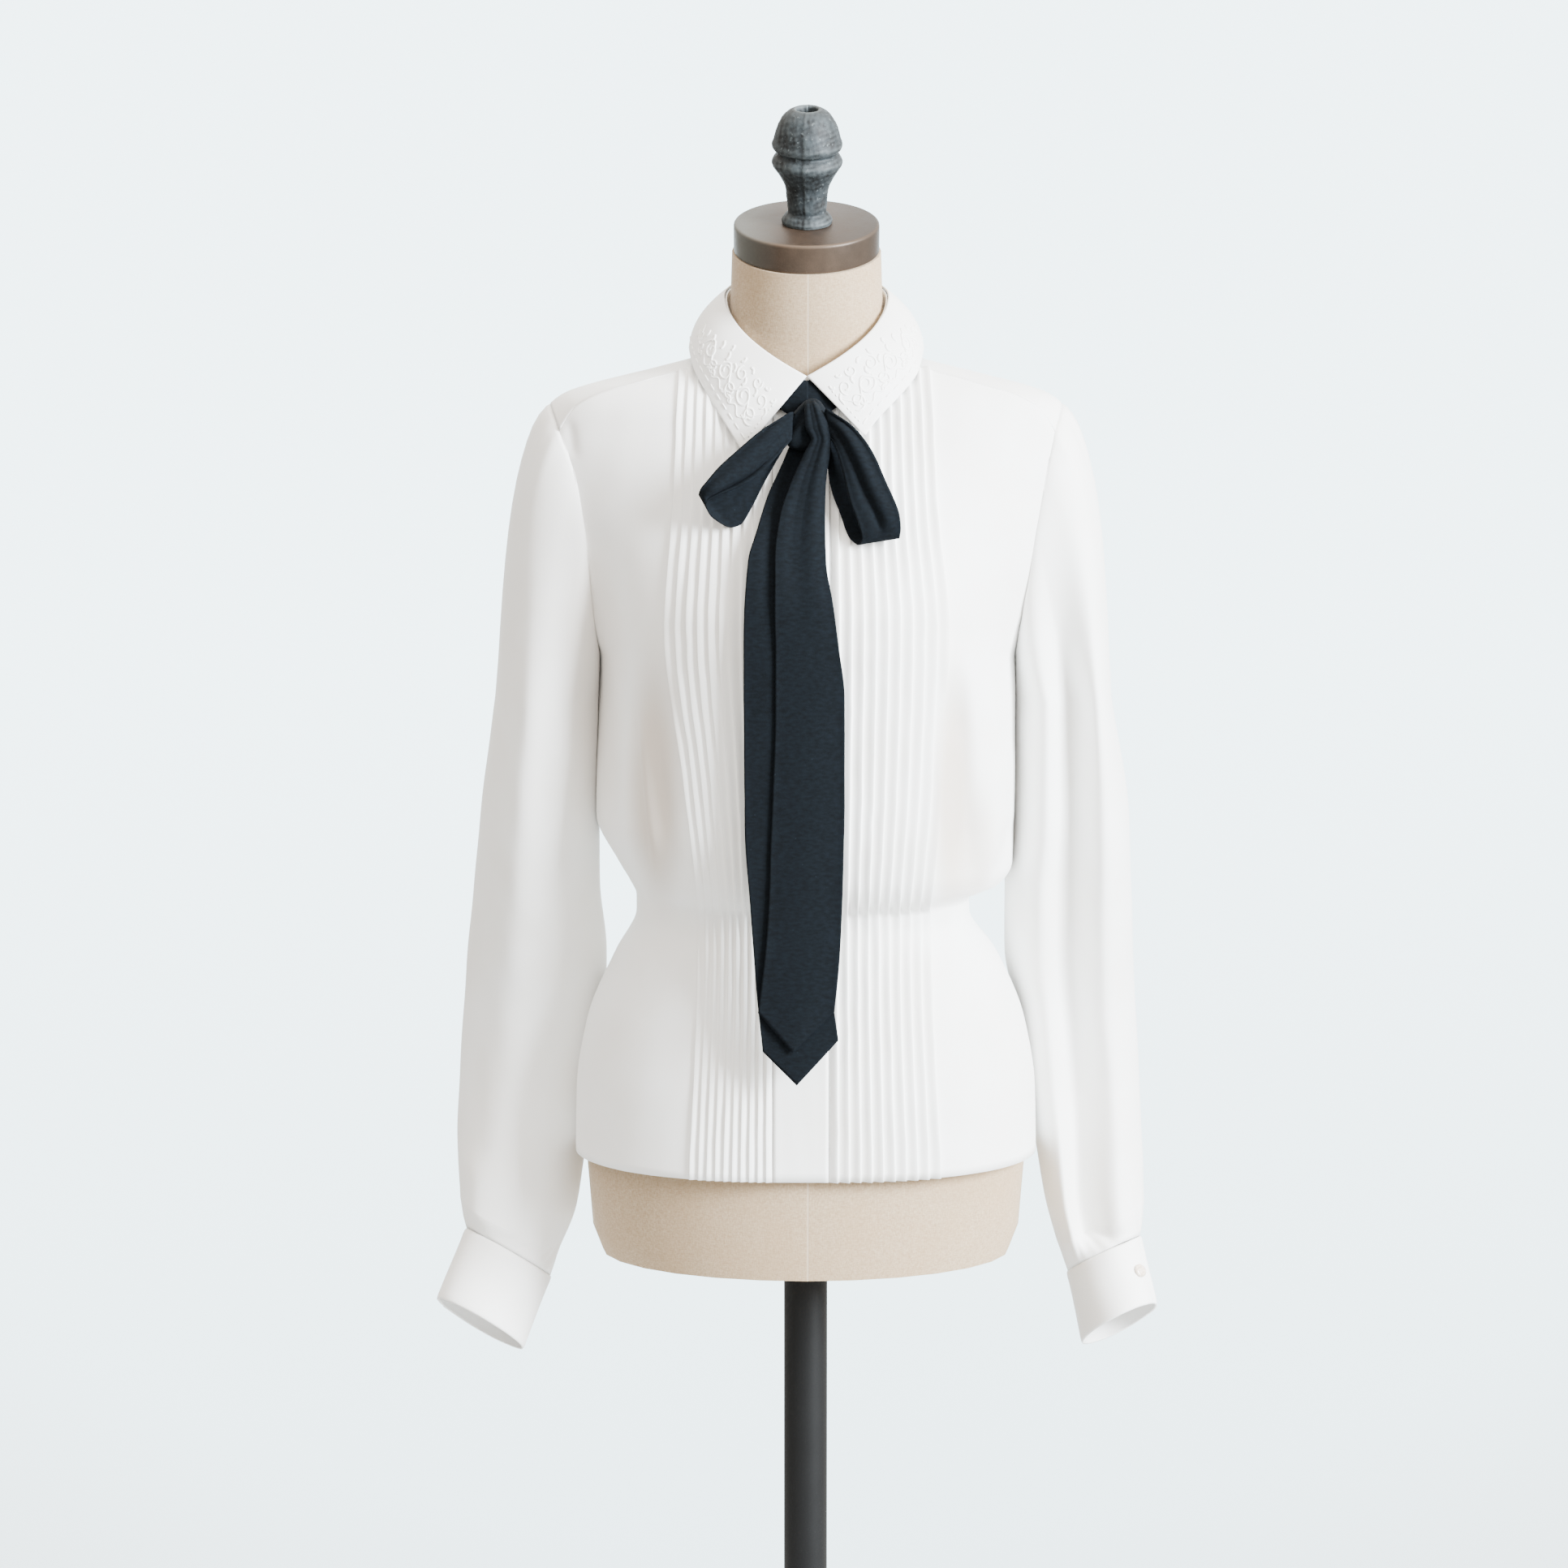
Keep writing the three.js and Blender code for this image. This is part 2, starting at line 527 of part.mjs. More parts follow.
/** One row of a sleeve as a ring: outer edge, front with its two folds, inner edge, then a plainer back. */
function sleeveRow({ side, valley }, row) {
  const { z, out, fold1, fold2, inn, y, deep, lean } = row;
  const middle = (out + inn) / 2;
  const at = (x, share) => point(side * x, y - share * deep, z + lean * (x - middle));
  const controls = [
    at(out, 0),
    at(fold1, valley ? 0.92 : 1),
    at(fold2, valley ? 0.5 : 0.86),
    at(lerp(inn, fold2, valley ? 0.5 : 0.22), valley ? 0.9 : 0.4),
    at(inn, -0.08),
    at(lerp(inn, out, 0.3), -0.85),
    at(lerp(inn, out, 0.62), -0.72),
    at(lerp(inn, out, 0.88), -0.62),
  ];
  return new THREE.CatmullRomCurve3(controls, true).getPoints(AROUND).slice(0, AROUND);
}

/** A ring of a cuff, a share of the way down it, grown by some millimetres. */
function cuffRing({ side, cuff }, down, grow) {
  const outward = point(side, 0, cuff.slope).normalize();
  const forward = point(0, -1, cuff.pitch).normalize();
  const centre = point(side * (cuff.x + cuff.outward * down), cuff.y - cuff.forward * down, cuff.z - cuff.drop * down);
  return range(AROUND)
    .slice(0, AROUND)
    .map((t) =>
      centre
        .clone()
        .addScaledVector(outward, (cuff.half + grow) * Math.cos(2 * Math.PI * t))
        .addScaledVector(forward, (cuff.deep + grow) * Math.sin(2 * Math.PI * t)),
    );
}

function sleeve(form) {
  const { side } = form;
  const rows = form.rows.map((row) => sleeveRow(form, row));
  const seam = armhole(side).map((p) => p.setX(p.x + side * 4.5 * SEAM));
  const head = HEAD_STEPS.map((step) =>
    seam.map((p, k) => {
      const angle = (2 * Math.PI * k) / AROUND;
      const puff = HEAD_PUFF * Math.sin(Math.PI * step ** 0.55);
      const q = p.clone().lerp(rows[0][k], step);
      q.x += side * puff * Math.max(0, Math.cos(angle));
      q.y -= 0.35 * puff * Math.sin(angle);
      return q;
    }),
  );
  const last = cuffRing(form, -0.022, 0);
  const sheet = [...head, ...rows, last];
  sheet.slice(1).forEach((ring) =>
    ring.forEach((p) => {
      const out = reach(side, p.y, p.z) && reach(side, p.y, p.z) + SLEEVE_CLEAR;
      if (Math.abs(p.x) < out) p.x = side * out;
    }),
  );
  return wall(sheet, moved(sheet, -side * CLOTH, true), true);
}

function cuff(form) {
  const rows = [0, 0.5, 1].map((down) => cuffRing(form, down, 0.4));
  return wall(rows, moved(rows, -form.side * 1.6, true), true);
}

/** The ring where the collar turns over, by angle from the middle front. */
function collarFold(side, angle) {
  const a = degToRad(angle);
  return point(side * FOLD.half * Math.sin(a), FOLD.y - FOLD.deep * Math.cos(a), read(COLLAR_FOLD, "angle", "z", angle));
}

/** The neck seam all round, by angle from the middle front. */
function neckRing(side, angle) {
  if (angle >= 70) return neckSeam(side, angle);
  const x = NECK_CORNER * Math.sin(degToRad((angle * 90) / 70));
  return skin(side, -1, x, topEdge(Math.min(x, NECK_CORNER - 0.01)));
}

const NECK_ANGLES = [1, 14, 27, 40, 54, 70, 90, 110, 132, 156, 180];
const roundTheNeck = (angles) => [
  ...angles.map((a) => [-1, a]),
  ...angles.slice(0, -1).reverse().map((a) => [1, a]),
];

function collarStand() {
  const rows = [0, 0.5, 1].map((up) =>
    roundTheNeck(NECK_ANGLES).map(([side, a]) => {
      const low = neckRing(side, a);
      const p = low.clone().add(point(0, 0, CLOTH + SEAM + 0.3)).lerp(collarFold(side, a), up);
      return p;
    }),
  );
  return wall(moved(rows, -CLOTH), rows);
}

function collar() {
  const across = [0, 0.18, 0.45, 0.75, 1];
  const rows = across.map((r) =>
    roundTheNeck(NECK_ANGLES).map(([side, a]) => {
      const fold = collarFold(side, a);
      fold.add(point(side * 1.5 * Math.sin(degToRad(a)), -1.5 * Math.cos(degToRad(a)), 0.8));
      const tip = side > 0 ? smoothstep(60 - a, 0, 57) : 0;
      const edge = point(
        side * (read(COLLAR_EDGE, "angle", "x", a) - 4 * tip),
        read(COLLAR_EDGE, "angle", "y", a) + 4 * tip,
        read(COLLAR_EDGE, "angle", "z", a) + 11 * tip,
      );
      const p = fold.lerp(edge, r);
      const bow = 4 * r * (1 - r) * smoothstep(a, 0, 60);
      return p.add(point(side * 5 * bow * Math.sin(degToRad(a)), -4 * bow * Math.cos(degToRad(a)), 2.5 * bow));
    }),
  );
  return wall(moved(rows, 1.4), rows);
}

function tieBand() {
  const angles = [TIE_BAND.from, 34, 48, 62, 78, 96, 116, 136, 158, 180];
  const rows = [0, 1].map((up) =>
    roundTheNeck(angles).map(([side, angle]) => {
      const a = degToRad(angle);
      const middle = (neckRing(side, angle).z + collarFold(side, angle).z) / 2 - 3;
      return point(
        side * (TIE_BAND.half + 3 * (1 - up)) * Math.sin(a),
        TIE_BAND.y - (TIE_BAND.deep + 2 * (1 - up)) * Math.cos(a),
        middle + (up - 0.5) * TIE_BAND.high,
      );
    }),
  );
  return wall(moved(rows, -TIE_CLOTH), rows);
}

function tail({ rows, point: end }) {
  const columns = [0, 0.25, 0.45, 0.72, 1];
  const drop = [end.left, end.middle / 2, end.middle, end.middle / 2, end.right];
  const sheet = rows.map((row, r) =>
    columns.map((c, i) => point(lerp(row.left, row.right, c), row.y - 1.5 * Math.sin(Math.PI * c), row.z + (r ? 0 : drop[i]))),
  );
  return wall(moved(sheet, TIE_CLOTH), sheet);
}

/** A tie loop: a band that leaves the knot, turns at its far end and comes back, open along both edges. */
function loop({ x, y, z, toX, toY, toZ, near, far, open }) {
  const from = point(x, y, z);
  const along = point(toX, toY, toZ).sub(from);
  const across = along.clone().cross(point(0, 1, 0)).normalize();
  const out = across.clone().cross(along).normalize();
  const rows = [-1, 0, 1].map((w) =>
    range(18)
      .slice(0, 18)
      .map((t) => {
        const a = 2 * Math.PI * t;
        const share = 0.5 - 0.5 * Math.cos(a);
        const width = lerp(near, far, Math.sin((share * Math.PI) / 2));
        const thick = lerp(2.6, open, share);
        return from
          .clone()
          .addScaledVector(along, share)
          .addScaledVector(out, thick * Math.sin(a))
          .addScaledVector(across, w * width);
      }),
  );
  const sheet = moved(rows, TIE_CLOTH / 2, true);
  const other = moved(rows, -TIE_CLOTH / 2, true);
  return wall(sheet, other, true);
}

/** The knot: a rounded block whose front leans with the tails and whose back lies on the front band. */
function knot() {
  const rings = range(8).map((t) => {
    const v = lerp(-1, 1, t);
    const size = (1 - Math.abs(v) ** 3.2) ** 0.42;
    return range(16)
      .slice(0, 16)
      .map((s) => {
        const a = 2 * Math.PI * s;
        const square = (n) => Math.sign(n) * Math.abs(n) ** 0.75;
        const deep = Math.sin(a) > 0 ? KNOT.back + 5.5 * v : KNOT.front;
        return point(
          KNOT.x + KNOT.half * Math.max(size, 0.25) * (1 - 0.14 * v) * square(Math.cos(a)),
          KNOT.y + 3.5 * v + deep * Math.max(size, 0.25) * square(Math.sin(a)),
          KNOT.z + KNOT.high * v,
        );
      });
  });
  return loft(rings);
}

/** A domed button lying on a point, facing along a direction. */
function button(at, facing) {
  const { radius, thick } = BUTTON;
  const profile = [
    [0, 0],
    [radius * 0.8, 0],
    [radius, thick * 0.4],
    [radius * 0.86, thick * 0.82],
    [0, thick],
  ].map(([r, h]) => new THREE.Vector2(r, h));
  const geometry = new THREE.LatheGeometry([...profile, profile[0]], 14);
  const turn = new THREE.Quaternion().setFromUnitVectors(point(0, 1, 0), facing.clone().normalize());
  return geometry.applyQuaternion(turn).translate(at.x, at.y, at.z);
}

/** A geometry as a solid for cutting and joining. */
function solid(geometry) {
  const bare = new THREE.BufferGeometry().setAttribute("position", geometry.getAttribute("position"));
  const merged = mergeVertices(bare.setIndex(geometry.index), 1e-4);
  return new wasm.Manifold(
    new wasm.Mesh({
      numProp: 3,
      vertProperties: merged.attributes.position.array,
      triVerts: new Uint32Array(merged.index.array),
    }),
  );
}

/** The form's trunk and neck in one, cut back under the yoke. */
function formTorso() {
  const ring = ({ z, half, front: f, back: b, tip = 0 }, columns) =>
    range(columns)
      .slice(0, columns)
      .map((t) => {
        const a = 2 * Math.PI * t;
        const y = ((b - f) / 2) * Math.sin(a);
        return point(half * Math.cos(a), (f + b) / 2 + y, z + tip * y);
      });
  const trunk = solid(loft(TRUNK.map((row) => ring(row, 28))));
  const neck = solid(loft(FORM_NECK.map((row) => ring(row, 24))));
  const rows = yokeRows();
  const high = rows.map((row) => row.map((p) => point(1.1 * p.x, 1.3 * p.y, p.z + 45)));
  const above = solid(wall(high, moved(rows, -FORM_CLEAR)));
  const pieces = trunk.subtract(above).decompose();
  const body = pieces.reduce((most, piece) => (piece.volume() > most.volume() ? piece : most));
  const { vertProperties, triVerts } = body.add(neck).getMesh();
  const points = Array.from({ length: vertProperties.length / 3 }, (_, i) =>
    point(...vertProperties.subarray(3 * i, 3 * i + 3)),
  );
  return closed(points, [...triVerts]);
}

/** A turned piece from its profile, radius and height pairs, round an axis from a foot that leans forwards. */
function turned(profile, segments, lean = 0, foot = point(0, 0, 0)) {
  const line = profile.map(([r, h]) => new THREE.Vector2(r, h));
  return new THREE.LatheGeometry([...line, line[0]], segments)
    .rotateX(Math.PI / 2 + degToRad(lean))
    .translate(foot.x, foot.y, foot.z);
}

const neckTop = FORM_NECK[FORM_NECK.length - 1];
const capAxis = point(0, -Math.sin(degToRad(CAP.tilt)), Math.cos(degToRad(CAP.tilt)));
const capFoot = point(0, (neckTop.front + neckTop.back) / 2, neckTop.z).addScaledVector(capAxis, 0.35);
const finialFoot = capFoot.clone().addScaledVector(capAxis, CAP.height + 0.3);

const COLOURS = {
  crepe: { color: "#f0f0ec", roughness: 0.72, metalness: 0 },
  tie: { color: "#272b31", roughness: 0.85, metalness: 0 },
  linen: { color: "#dcc8b2", roughness: 0.9, metalness: 0 },
  bronze: { color: "#4f443b", roughness: 0.5, metalness: 0.5 },
  zinc: { color: "#63696c", roughness: 0.6, metalness: 0.6 },
  steel: { color: "#3a3a3c", roughness: 0.45, metalness: 0.7 },
  pearl: { color: "#f1ece2", roughness: 0.3, metalness: 0 },
};

const group = new THREE.Group();
function add(name, geometry, colour) {
  const mesh = new THREE.Mesh(geometry, new THREE.MeshStandardMaterial(COLOURS[colour]));
  mesh.name = name;
  group.add(mesh);
}

const { round } = CAP;
add("form_torso", formTorso(), "linen");
add(
  "form_cap",
  turned(
    [
      [0, 0],
      [CAP.radius - round, 0],
      [CAP.radius, round],
      [CAP.radius, CAP.height - round],
      [CAP.radius - round, CAP.height],
      [0, CAP.height],
    ],
    48,
    CAP.tilt,
    capFoot,
  ),
  "bronze",
);
add(
  "form_finial",
  turned([[0, 0], ...FINIAL.map(({ up, radius }) => [radius, up]), [0, 74.5]], 24, CAP.tilt, finialFoot),
  "zinc",
);
add("stand_pole", turned([[0, BASE.height + 0.3], [POLE_RADIUS, BASE.height + 0.3], [POLE_RADIUS, 781.7], [0, 781.7]], 24), "steel");
add(
  "stand_base",
  turned(
    [
      [0, 0],
      [BASE.radius, 0],
      [BASE.radius, 8],
      [BASE.radius - 6, 13],
      [70, BASE.crown],
      [30, BASE.height],
      [0, BASE.height],
    ],
    48,
  ),
  "steel",
);

add("front_right", front(-1), "crepe");
add("front_left", front(1), "crepe");
add("front_placket", placket(), "crepe");
add("back", back(), "crepe");
add("yoke", yoke(), "crepe");
add("collar_stand", collarStand(), "crepe");
add("collar", collar(), "crepe");
for (const name of ["right", "left"]) {
  const form = SLEEVES[name];
  add("sleeve_" + name, sleeve(form), "crepe");
  add("cuff_" + name, cuff(form), "crepe");
  const [near, far] = [form.cuff.lift, 5].map((grow) => cuffRing(form, 0.45, grow)[form.cuff.button]);
  add("cuff_button_" + name, button(near, far.sub(near)), "pearl");
}
const bandLine = placketRows([(PLACKET.from + PLACKET.to) / 2]).flat();
FRONT_BUTTONS.forEach((z, i) => {
  const next = bandLine.findIndex((p) => p.z > z);
  const [below, above] = [bandLine[next - 1], bandLine[next]];
  const at = below.clone().lerp(above, (z - below.z) / (above.z - below.z));
  const facing = point(0, below.z - above.z, above.y - below.y).normalize();
  add("front_button_" + (i + 1), button(at.addScaledVector(facing, BAND_CLOTH + SEAM), facing), "pearl");
});
add("tie_band", tieBand(), "tie");
add("tie_knot", knot(), "tie");
add("tie_loop_right", loop(LOOPS.right), "tie");
add("tie_loop_left", loop(LOOPS.left), "tie");
add("tie_tail_front", tail(TAIL_FRONT), "tie");
add("tie_tail_back", tail(TAIL_BACK), "tie");

export default group;
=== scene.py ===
# A white crepe blouse with a blue-black neck tie on a limbless linen dress form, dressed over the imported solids.
# Shapes are worked out in millimetres in the frame of the solids and put into the meshes in metres.
import math

import bpy
import bmesh
import numpy as np
from mathutils import Euler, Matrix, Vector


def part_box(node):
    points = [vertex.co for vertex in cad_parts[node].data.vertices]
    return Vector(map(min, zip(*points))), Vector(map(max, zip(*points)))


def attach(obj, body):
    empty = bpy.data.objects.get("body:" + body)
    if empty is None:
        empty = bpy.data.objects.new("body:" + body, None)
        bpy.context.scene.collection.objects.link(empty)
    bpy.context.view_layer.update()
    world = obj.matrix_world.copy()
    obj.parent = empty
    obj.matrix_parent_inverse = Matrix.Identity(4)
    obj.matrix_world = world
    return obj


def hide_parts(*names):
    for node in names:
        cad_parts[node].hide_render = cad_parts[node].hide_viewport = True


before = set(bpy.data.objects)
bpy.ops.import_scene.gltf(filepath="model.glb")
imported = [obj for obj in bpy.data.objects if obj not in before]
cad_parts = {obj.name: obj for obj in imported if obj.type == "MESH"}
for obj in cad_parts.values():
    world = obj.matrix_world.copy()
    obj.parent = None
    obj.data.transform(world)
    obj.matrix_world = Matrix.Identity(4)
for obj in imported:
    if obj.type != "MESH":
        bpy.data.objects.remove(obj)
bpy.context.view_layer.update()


# Studio: a pale, evenly lit wall and floor, a broad soft window light from the front right, and a long
# lens at chest height that looks slightly down, as the photograph was taken.

def linear(colour):
    """An sRGB hex colour as linear red, green, blue and alpha."""
    c = np.array([int(colour[i:i + 2], 16) for i in (1, 3, 5)]) / 255
    return (*np.where(c <= 0.04045, c / 12.92, ((c + 0.055) / 1.055) ** 2.4).tolist(), 1.0)


def node(tree, kind, sockets=None, **settings):
    """One node, with its own settings, and each of its sockets set to a value or linked to another's output."""
    made = tree.nodes.new("ShaderNode" + kind)
    for name, value in settings.items():
        setattr(made, name, value)
    for name, value in (sockets or {}).items():
        if isinstance(value, bpy.types.NodeSocket):
            tree.links.new(value, made.inputs[name])
        else:
            made.inputs[name].default_value = value
    return made


def noise(tree, place, scale, **more):
    """The grey of a noise pattern at a place, with so many cells to the metre."""
    return node(tree, "TexNoise", {"Vector": place, "Scale": scale, **more}).outputs["Fac"]


def stretched(tree, place, scale):
    """A place with each of its directions scaled."""
    return node(tree, "Mapping", {"Vector": place, "Scale": scale}).outputs[0]


def spread(tree, value, low, high, to_low=0.0, to_high=1.0):
    """A value between low and high carried over to the span between two others, and held at its ends."""
    return node(tree, "MapRange", {"Value": value, "From Min": low, "From Max": high,
                                   "To Min": to_low, "To Max": to_high}).outputs[0]


def blend(tree, share, first, second):
    """Two colours mixed, the second by its share; each is hex or another node's output."""
    first, second = (linear(c) if isinstance(c, str) else c for c in (first, second))
    return node(tree, "Mix", {"Factor": share, 6: first, 7: second}, data_type="RGBA").outputs[2]


def ramp(tree, value, *stops):
    """A colour that runs between two stops, each a value and its hex colour."""
    made = node(tree, "ValToRGB", {"Fac": value})
    for element, (position, colour) in zip(made.color_ramp.elements, stops):
        element.position, element.color = position, linear(colour)
    return made.outputs[0]


def combined(tree, first, second, operation="ADD"):
    """Two values put together by one sum."""
    return node(tree, "Math", {0: first, 1: second}, operation=operation).outputs[0]


def object_place(tree):
    """A point's place in its object, in metres."""
    return node(tree, "TexCoord").outputs["Object"]


def relief(tree, shader, height, strength, distance):
    """A fine relief on a shader, by its height, from 0 to 1, and its depth in metres."""
    bump = node(tree, "Bump", {"Height": height, "Strength": strength, "Distance": distance})
    tree.links.new(bump.outputs[0], shader.inputs["Normal"])


def finish_of(name, colour, roughness, **more):
    """A material with one Principled shader, and that shader, to be given its pattern."""
    material = bpy.data.materials.new(name)
    material.use_nodes = True
    tree = material.node_tree
    tree.nodes.clear()
    shader = node(tree, "BsdfPrincipled", {"Base Color": linear(colour), "Roughness": roughness})
    for socket, value in more.items():
        shader.inputs[socket.replace("_", " ")].default_value = value
    out = node(tree, "OutputMaterial", {"Surface": shader.outputs[0]})
    out.is_active_output = True
    return material, tree, shader


world = bpy.data.worlds.new("pale studio")
bpy.context.scene.world = world
world.use_nodes = True
world.node_tree.nodes.clear()
tree = world.node_tree
split = node(tree, "SeparateXYZ", {"Vector": node(tree, "TexCoord").outputs["Generated"]})
rightward, away, upward = (split.outputs[k] for k in "XYZ")
wall = spread(tree, away, 0.84, 0.95)
side = spread(tree, rightward, -0.9, 0.9, 1.12, 2.3)
floorward = combined(tree, side, spread(tree, upward, -0.5, 0.0, 0.3, 1.0), "MULTIPLY")
room = combined(tree, floorward, spread(tree, upward, 0.25, 1.0, 0.0, 3.2))
wall_level = spread(tree, upward, -0.32, -0.1, 5.2, 6.8)
level = node(tree, "Mix", {"Factor": wall, 2: room, 3: wall_level})
tint = blend(tree, wall, "#f3ece3", "#d9eef5")
sky = node(tree, "Background", {"Color": tint, "Strength": level.outputs[0]})
node(tree, "OutputWorld", {"Surface": sky.outputs[0]})

camera = bpy.data.objects.new("camera", bpy.data.cameras.new("camera"))
bpy.context.scene.collection.objects.link(camera)
camera.location = (-0.016, -2.925, 1.513)
camera.rotation_euler = Euler((math.radians(82.5), 0, 0))
camera.data.lens = 93.17
camera.data.sensor_width = 36
bpy.context.scene.camera = camera


def soft_light(name, place, towards, size, power, colour):
    """A large square area light at a place, turned to a point."""
    light = bpy.data.lights.new(name, "AREA")
    light.shape, light.size, light.energy = "SQUARE", size, power
    light.color = linear(colour)[:3]
    lamp = bpy.data.objects.new(name, light)
    lamp.location = place
    aim = np.array(towards) - np.array(place)
    tilt = math.atan2(math.hypot(*aim[:2]), -aim[2])
    lamp.rotation_euler = Euler((tilt, 0, math.atan2(aim[1], aim[0]) - math.pi / 2))
    bpy.context.scene.collection.objects.link(lamp)


soft_light("window", (2.5, -1.8, 2.2), (0, 0, 1.15), 1.3, 640, "#f2f9ff")


def distances(line):
    """How far along a line each of its points lies."""
    return np.concatenate([[0], np.cumsum(np.linalg.norm(np.diff(line, axis=0), axis=1))])


def xyz(x, y, z):
    """Points from their x, y and z, whose shapes only have to go together."""
    return np.stack(np.broadcast_arrays(x, y, z), axis=-1)


def placed(name, mesh, material, slot=None, node_names=()):
    """A mesh as a smooth piece of one material, in place of some nodes."""
    mesh.polygons.foreach_set("use_smooth", np.ones(len(mesh.polygons), bool))
    mesh.materials.append(material)
    piece = bpy.data.objects.new(name, mesh)
    bpy.context.scene.collection.objects.link(piece)
    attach(piece, "root")
    if node_names:
        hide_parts(*node_names)
    return piece


def surface(name, points, material, ring=False, turned=False, thick=0.0, **more):
    """A grid of points (rows, columns, xyz in mm) as a smooth mesh. A ring's columns close on themselves, turned
    swaps its faces' side, and thick gives it a wall of that many mm behind its face. The UV map holds millimetres
    along the columns and rows, measured on the middle row and the middle column."""
    rows, columns = points.shape[:2]
    index = np.arange(rows * columns).reshape(rows, columns)
    if ring:
        index = np.concatenate([index, index[:, :1]], axis=1)
        points = np.concatenate([points, points[:, :1]], axis=1)
    a, b, c, d = index[:-1, :-1], index[:-1, 1:], index[1:, 1:], index[1:, :-1]
    faces = np.stack([a, d, c, b] if turned else [a, b, c, d], axis=-1).reshape(-1, 4)
    mesh = bpy.data.meshes.new(name)
    mesh.from_pydata((points[:, :columns].reshape(-1, 3) / 1000).tolist(), [], faces.tolist())
    uv = np.stack(np.meshgrid(distances(points[rows // 2]), distances(points[:, columns // 2])), axis=-1) / 1000
    corners = [uv[:-1, :-1], uv[:-1, 1:], uv[1:, 1:], uv[1:, :-1]]
    if turned:
        corners = [corners[0], corners[3], corners[2], corners[1]]
    layer = mesh.uv_layers.new(name="cloth")
    layer.data.foreach_set("uv", np.stack(corners, axis=2).reshape(-1))
    work = bmesh.new()
    work.from_mesh(mesh)
    bmesh.ops.remove_doubles(work, verts=work.verts, dist=1e-6)
    work.to_mesh(mesh)
    work.free()
    piece = placed(name, mesh, material, **more)
    if thick:
        wall = piece.modifiers.new("wall", "SOLIDIFY")
        wall.thickness, wall.offset, wall.use_even_offset = thick / 1000, -1, False
    return piece


plaster, tree, shader = finish_of("matt studio floor", "#cdd1d2", 0.9)
radius, turn = np.meshgrid([0.0, 400, 900, 1290, 1300], np.linspace(0, 2 * np.pi, 97)[:-1], indexing="ij")
rim_drop = np.where(radius == radius.max(), 6, 0)
floor = surface("floor", xyz(radius * np.cos(turn), radius * np.sin(turn), -0.4 - rim_drop), plaster, ring=True)


# Dress form: a padded torso pulled tight in natural linen, its neck closed by a dark bronzed disc with a
# worn rim, and on the disc a grey cast finial with a mould seam. A black pole and round base carry it.

def curve(table, column, at):
    """A column of a table read at whole arrays of its first column's values. It runs in cubic pieces whose slope
    at each row is the harmonic mean of the slopes beside it, so it never overshoots its rows."""
    x = np.asarray(next(iter(table.values())), float)
    y = np.asarray(table[column], float)
    slope = np.diff(y) / np.diff(x)
    before, after = slope[:-1], slope[1:]
    bent = before * after > 0
    middle = np.where(bent, 2 * before * after / np.where(bent, before + after, 1), 0)
    tangent = np.concatenate([slope[:1], middle, slope[-1:]])
    at = np.clip(at, x[0], x[-1])
    i = np.clip(np.searchsorted(x, at, side="right") - 1, 0, len(x) - 2)
    span = x[i + 1] - x[i]
    t = (at - x[i]) / span
    return (y[i] * (1 + 2 * t) * (1 - t) ** 2 + tangent[i] * span * t * (1 - t) ** 2
            + y[i + 1] * t * t * (3 - 2 * t) + tangent[i + 1] * span * t * t * (t - 1))


def smooth(value, low, high):
    """0 below low, 1 above high, and an S-shaped rise between them."""
    t = np.clip((value - low) / (high - low), 0, 1)
    return t * t * (3 - 2 * t)


def bell(value, middle, width):
    """1 at the middle, falling away on both sides as a bell does."""
    return np.exp(-((value - middle) / width) ** 2)


def waves(*at, seed, scale):
    """Smooth unevenness from -1 to 1: the mean of six sines of random direction and phase, about scale mm long."""
    rng = np.random.default_rng(seed)
    total = 0
    for _ in range(6):
        along = sum(a * d for a, d in zip(at, rng.normal(size=len(at))))
        total = total + np.sin(along * 2 * np.pi / scale + rng.uniform(0, 7))
    return total / 6


def carried_over(name, material, slot, smooth_angle=40):
    """A copy of a CAD node's mesh, whose shape is right already, with its doubles merged and its shading smoothed."""
    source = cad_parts[name]
    mesh = source.data.copy()
    work = bmesh.new()
    work.from_mesh(mesh)
    work.transform(source.matrix_world)
    bmesh.ops.remove_doubles(work, verts=work.verts, dist=1e-5)
    for edge in work.edges:
        edge.smooth = edge.is_manifold and edge.calc_face_angle(0) < math.radians(smooth_angle)
    work.to_mesh(mesh)
    work.free()
    mesh.materials.clear()
    placed(name + "_skin", mesh, material, slot, [name])


# Natural linen: a fine plain weave of slightly uneven threads, matt, with a centre seam. The threads, about
# 0.5 mm apart, are drawn at 0.8 mm so that they show.
linen, tree, shader = finish_of("natural linen", "#a28b73", 0.88, Sheen_Weight=0.15)
place = object_place(tree)
thread = noise(tree, stretched(tree, place, (0.3, 0.3, 1.0)), 1300.0, Detail=2.0)
cross = noise(tree, stretched(tree, place, (1.0, 1.0, 0.3)), 1300.0, Detail=2.0)
weave = combined(tree, thread, cross)
mixed = blend(tree, spread(tree, weave, 0.7, 1.3), "#9b8365", "#b8a386")
age = spread(tree, noise(tree, place, 22.0, Detail=4.0), 0.35, 0.65, 0.0, 0.35)
age_and_painted_dark_side = blend(tree, age, mixed, "#a88c69")
off = combined(tree, node(tree, "SeparateXYZ", {"Vector": place}).outputs["X"], 0.001, "SUBTRACT")
away = node(tree, "Math", {0: off}, operation="ABSOLUTE").outputs[0]
seam = spread(tree, away, 0.0002, 0.0009)
tree.links.new(blend(tree, seam, "#bba891", age_and_painted_dark_side), shader.inputs["Base Color"])
relief(tree, shader, combined(tree, weave, seam), 0.3, 0.0003)
carried_over("form_torso", linen, "linen")


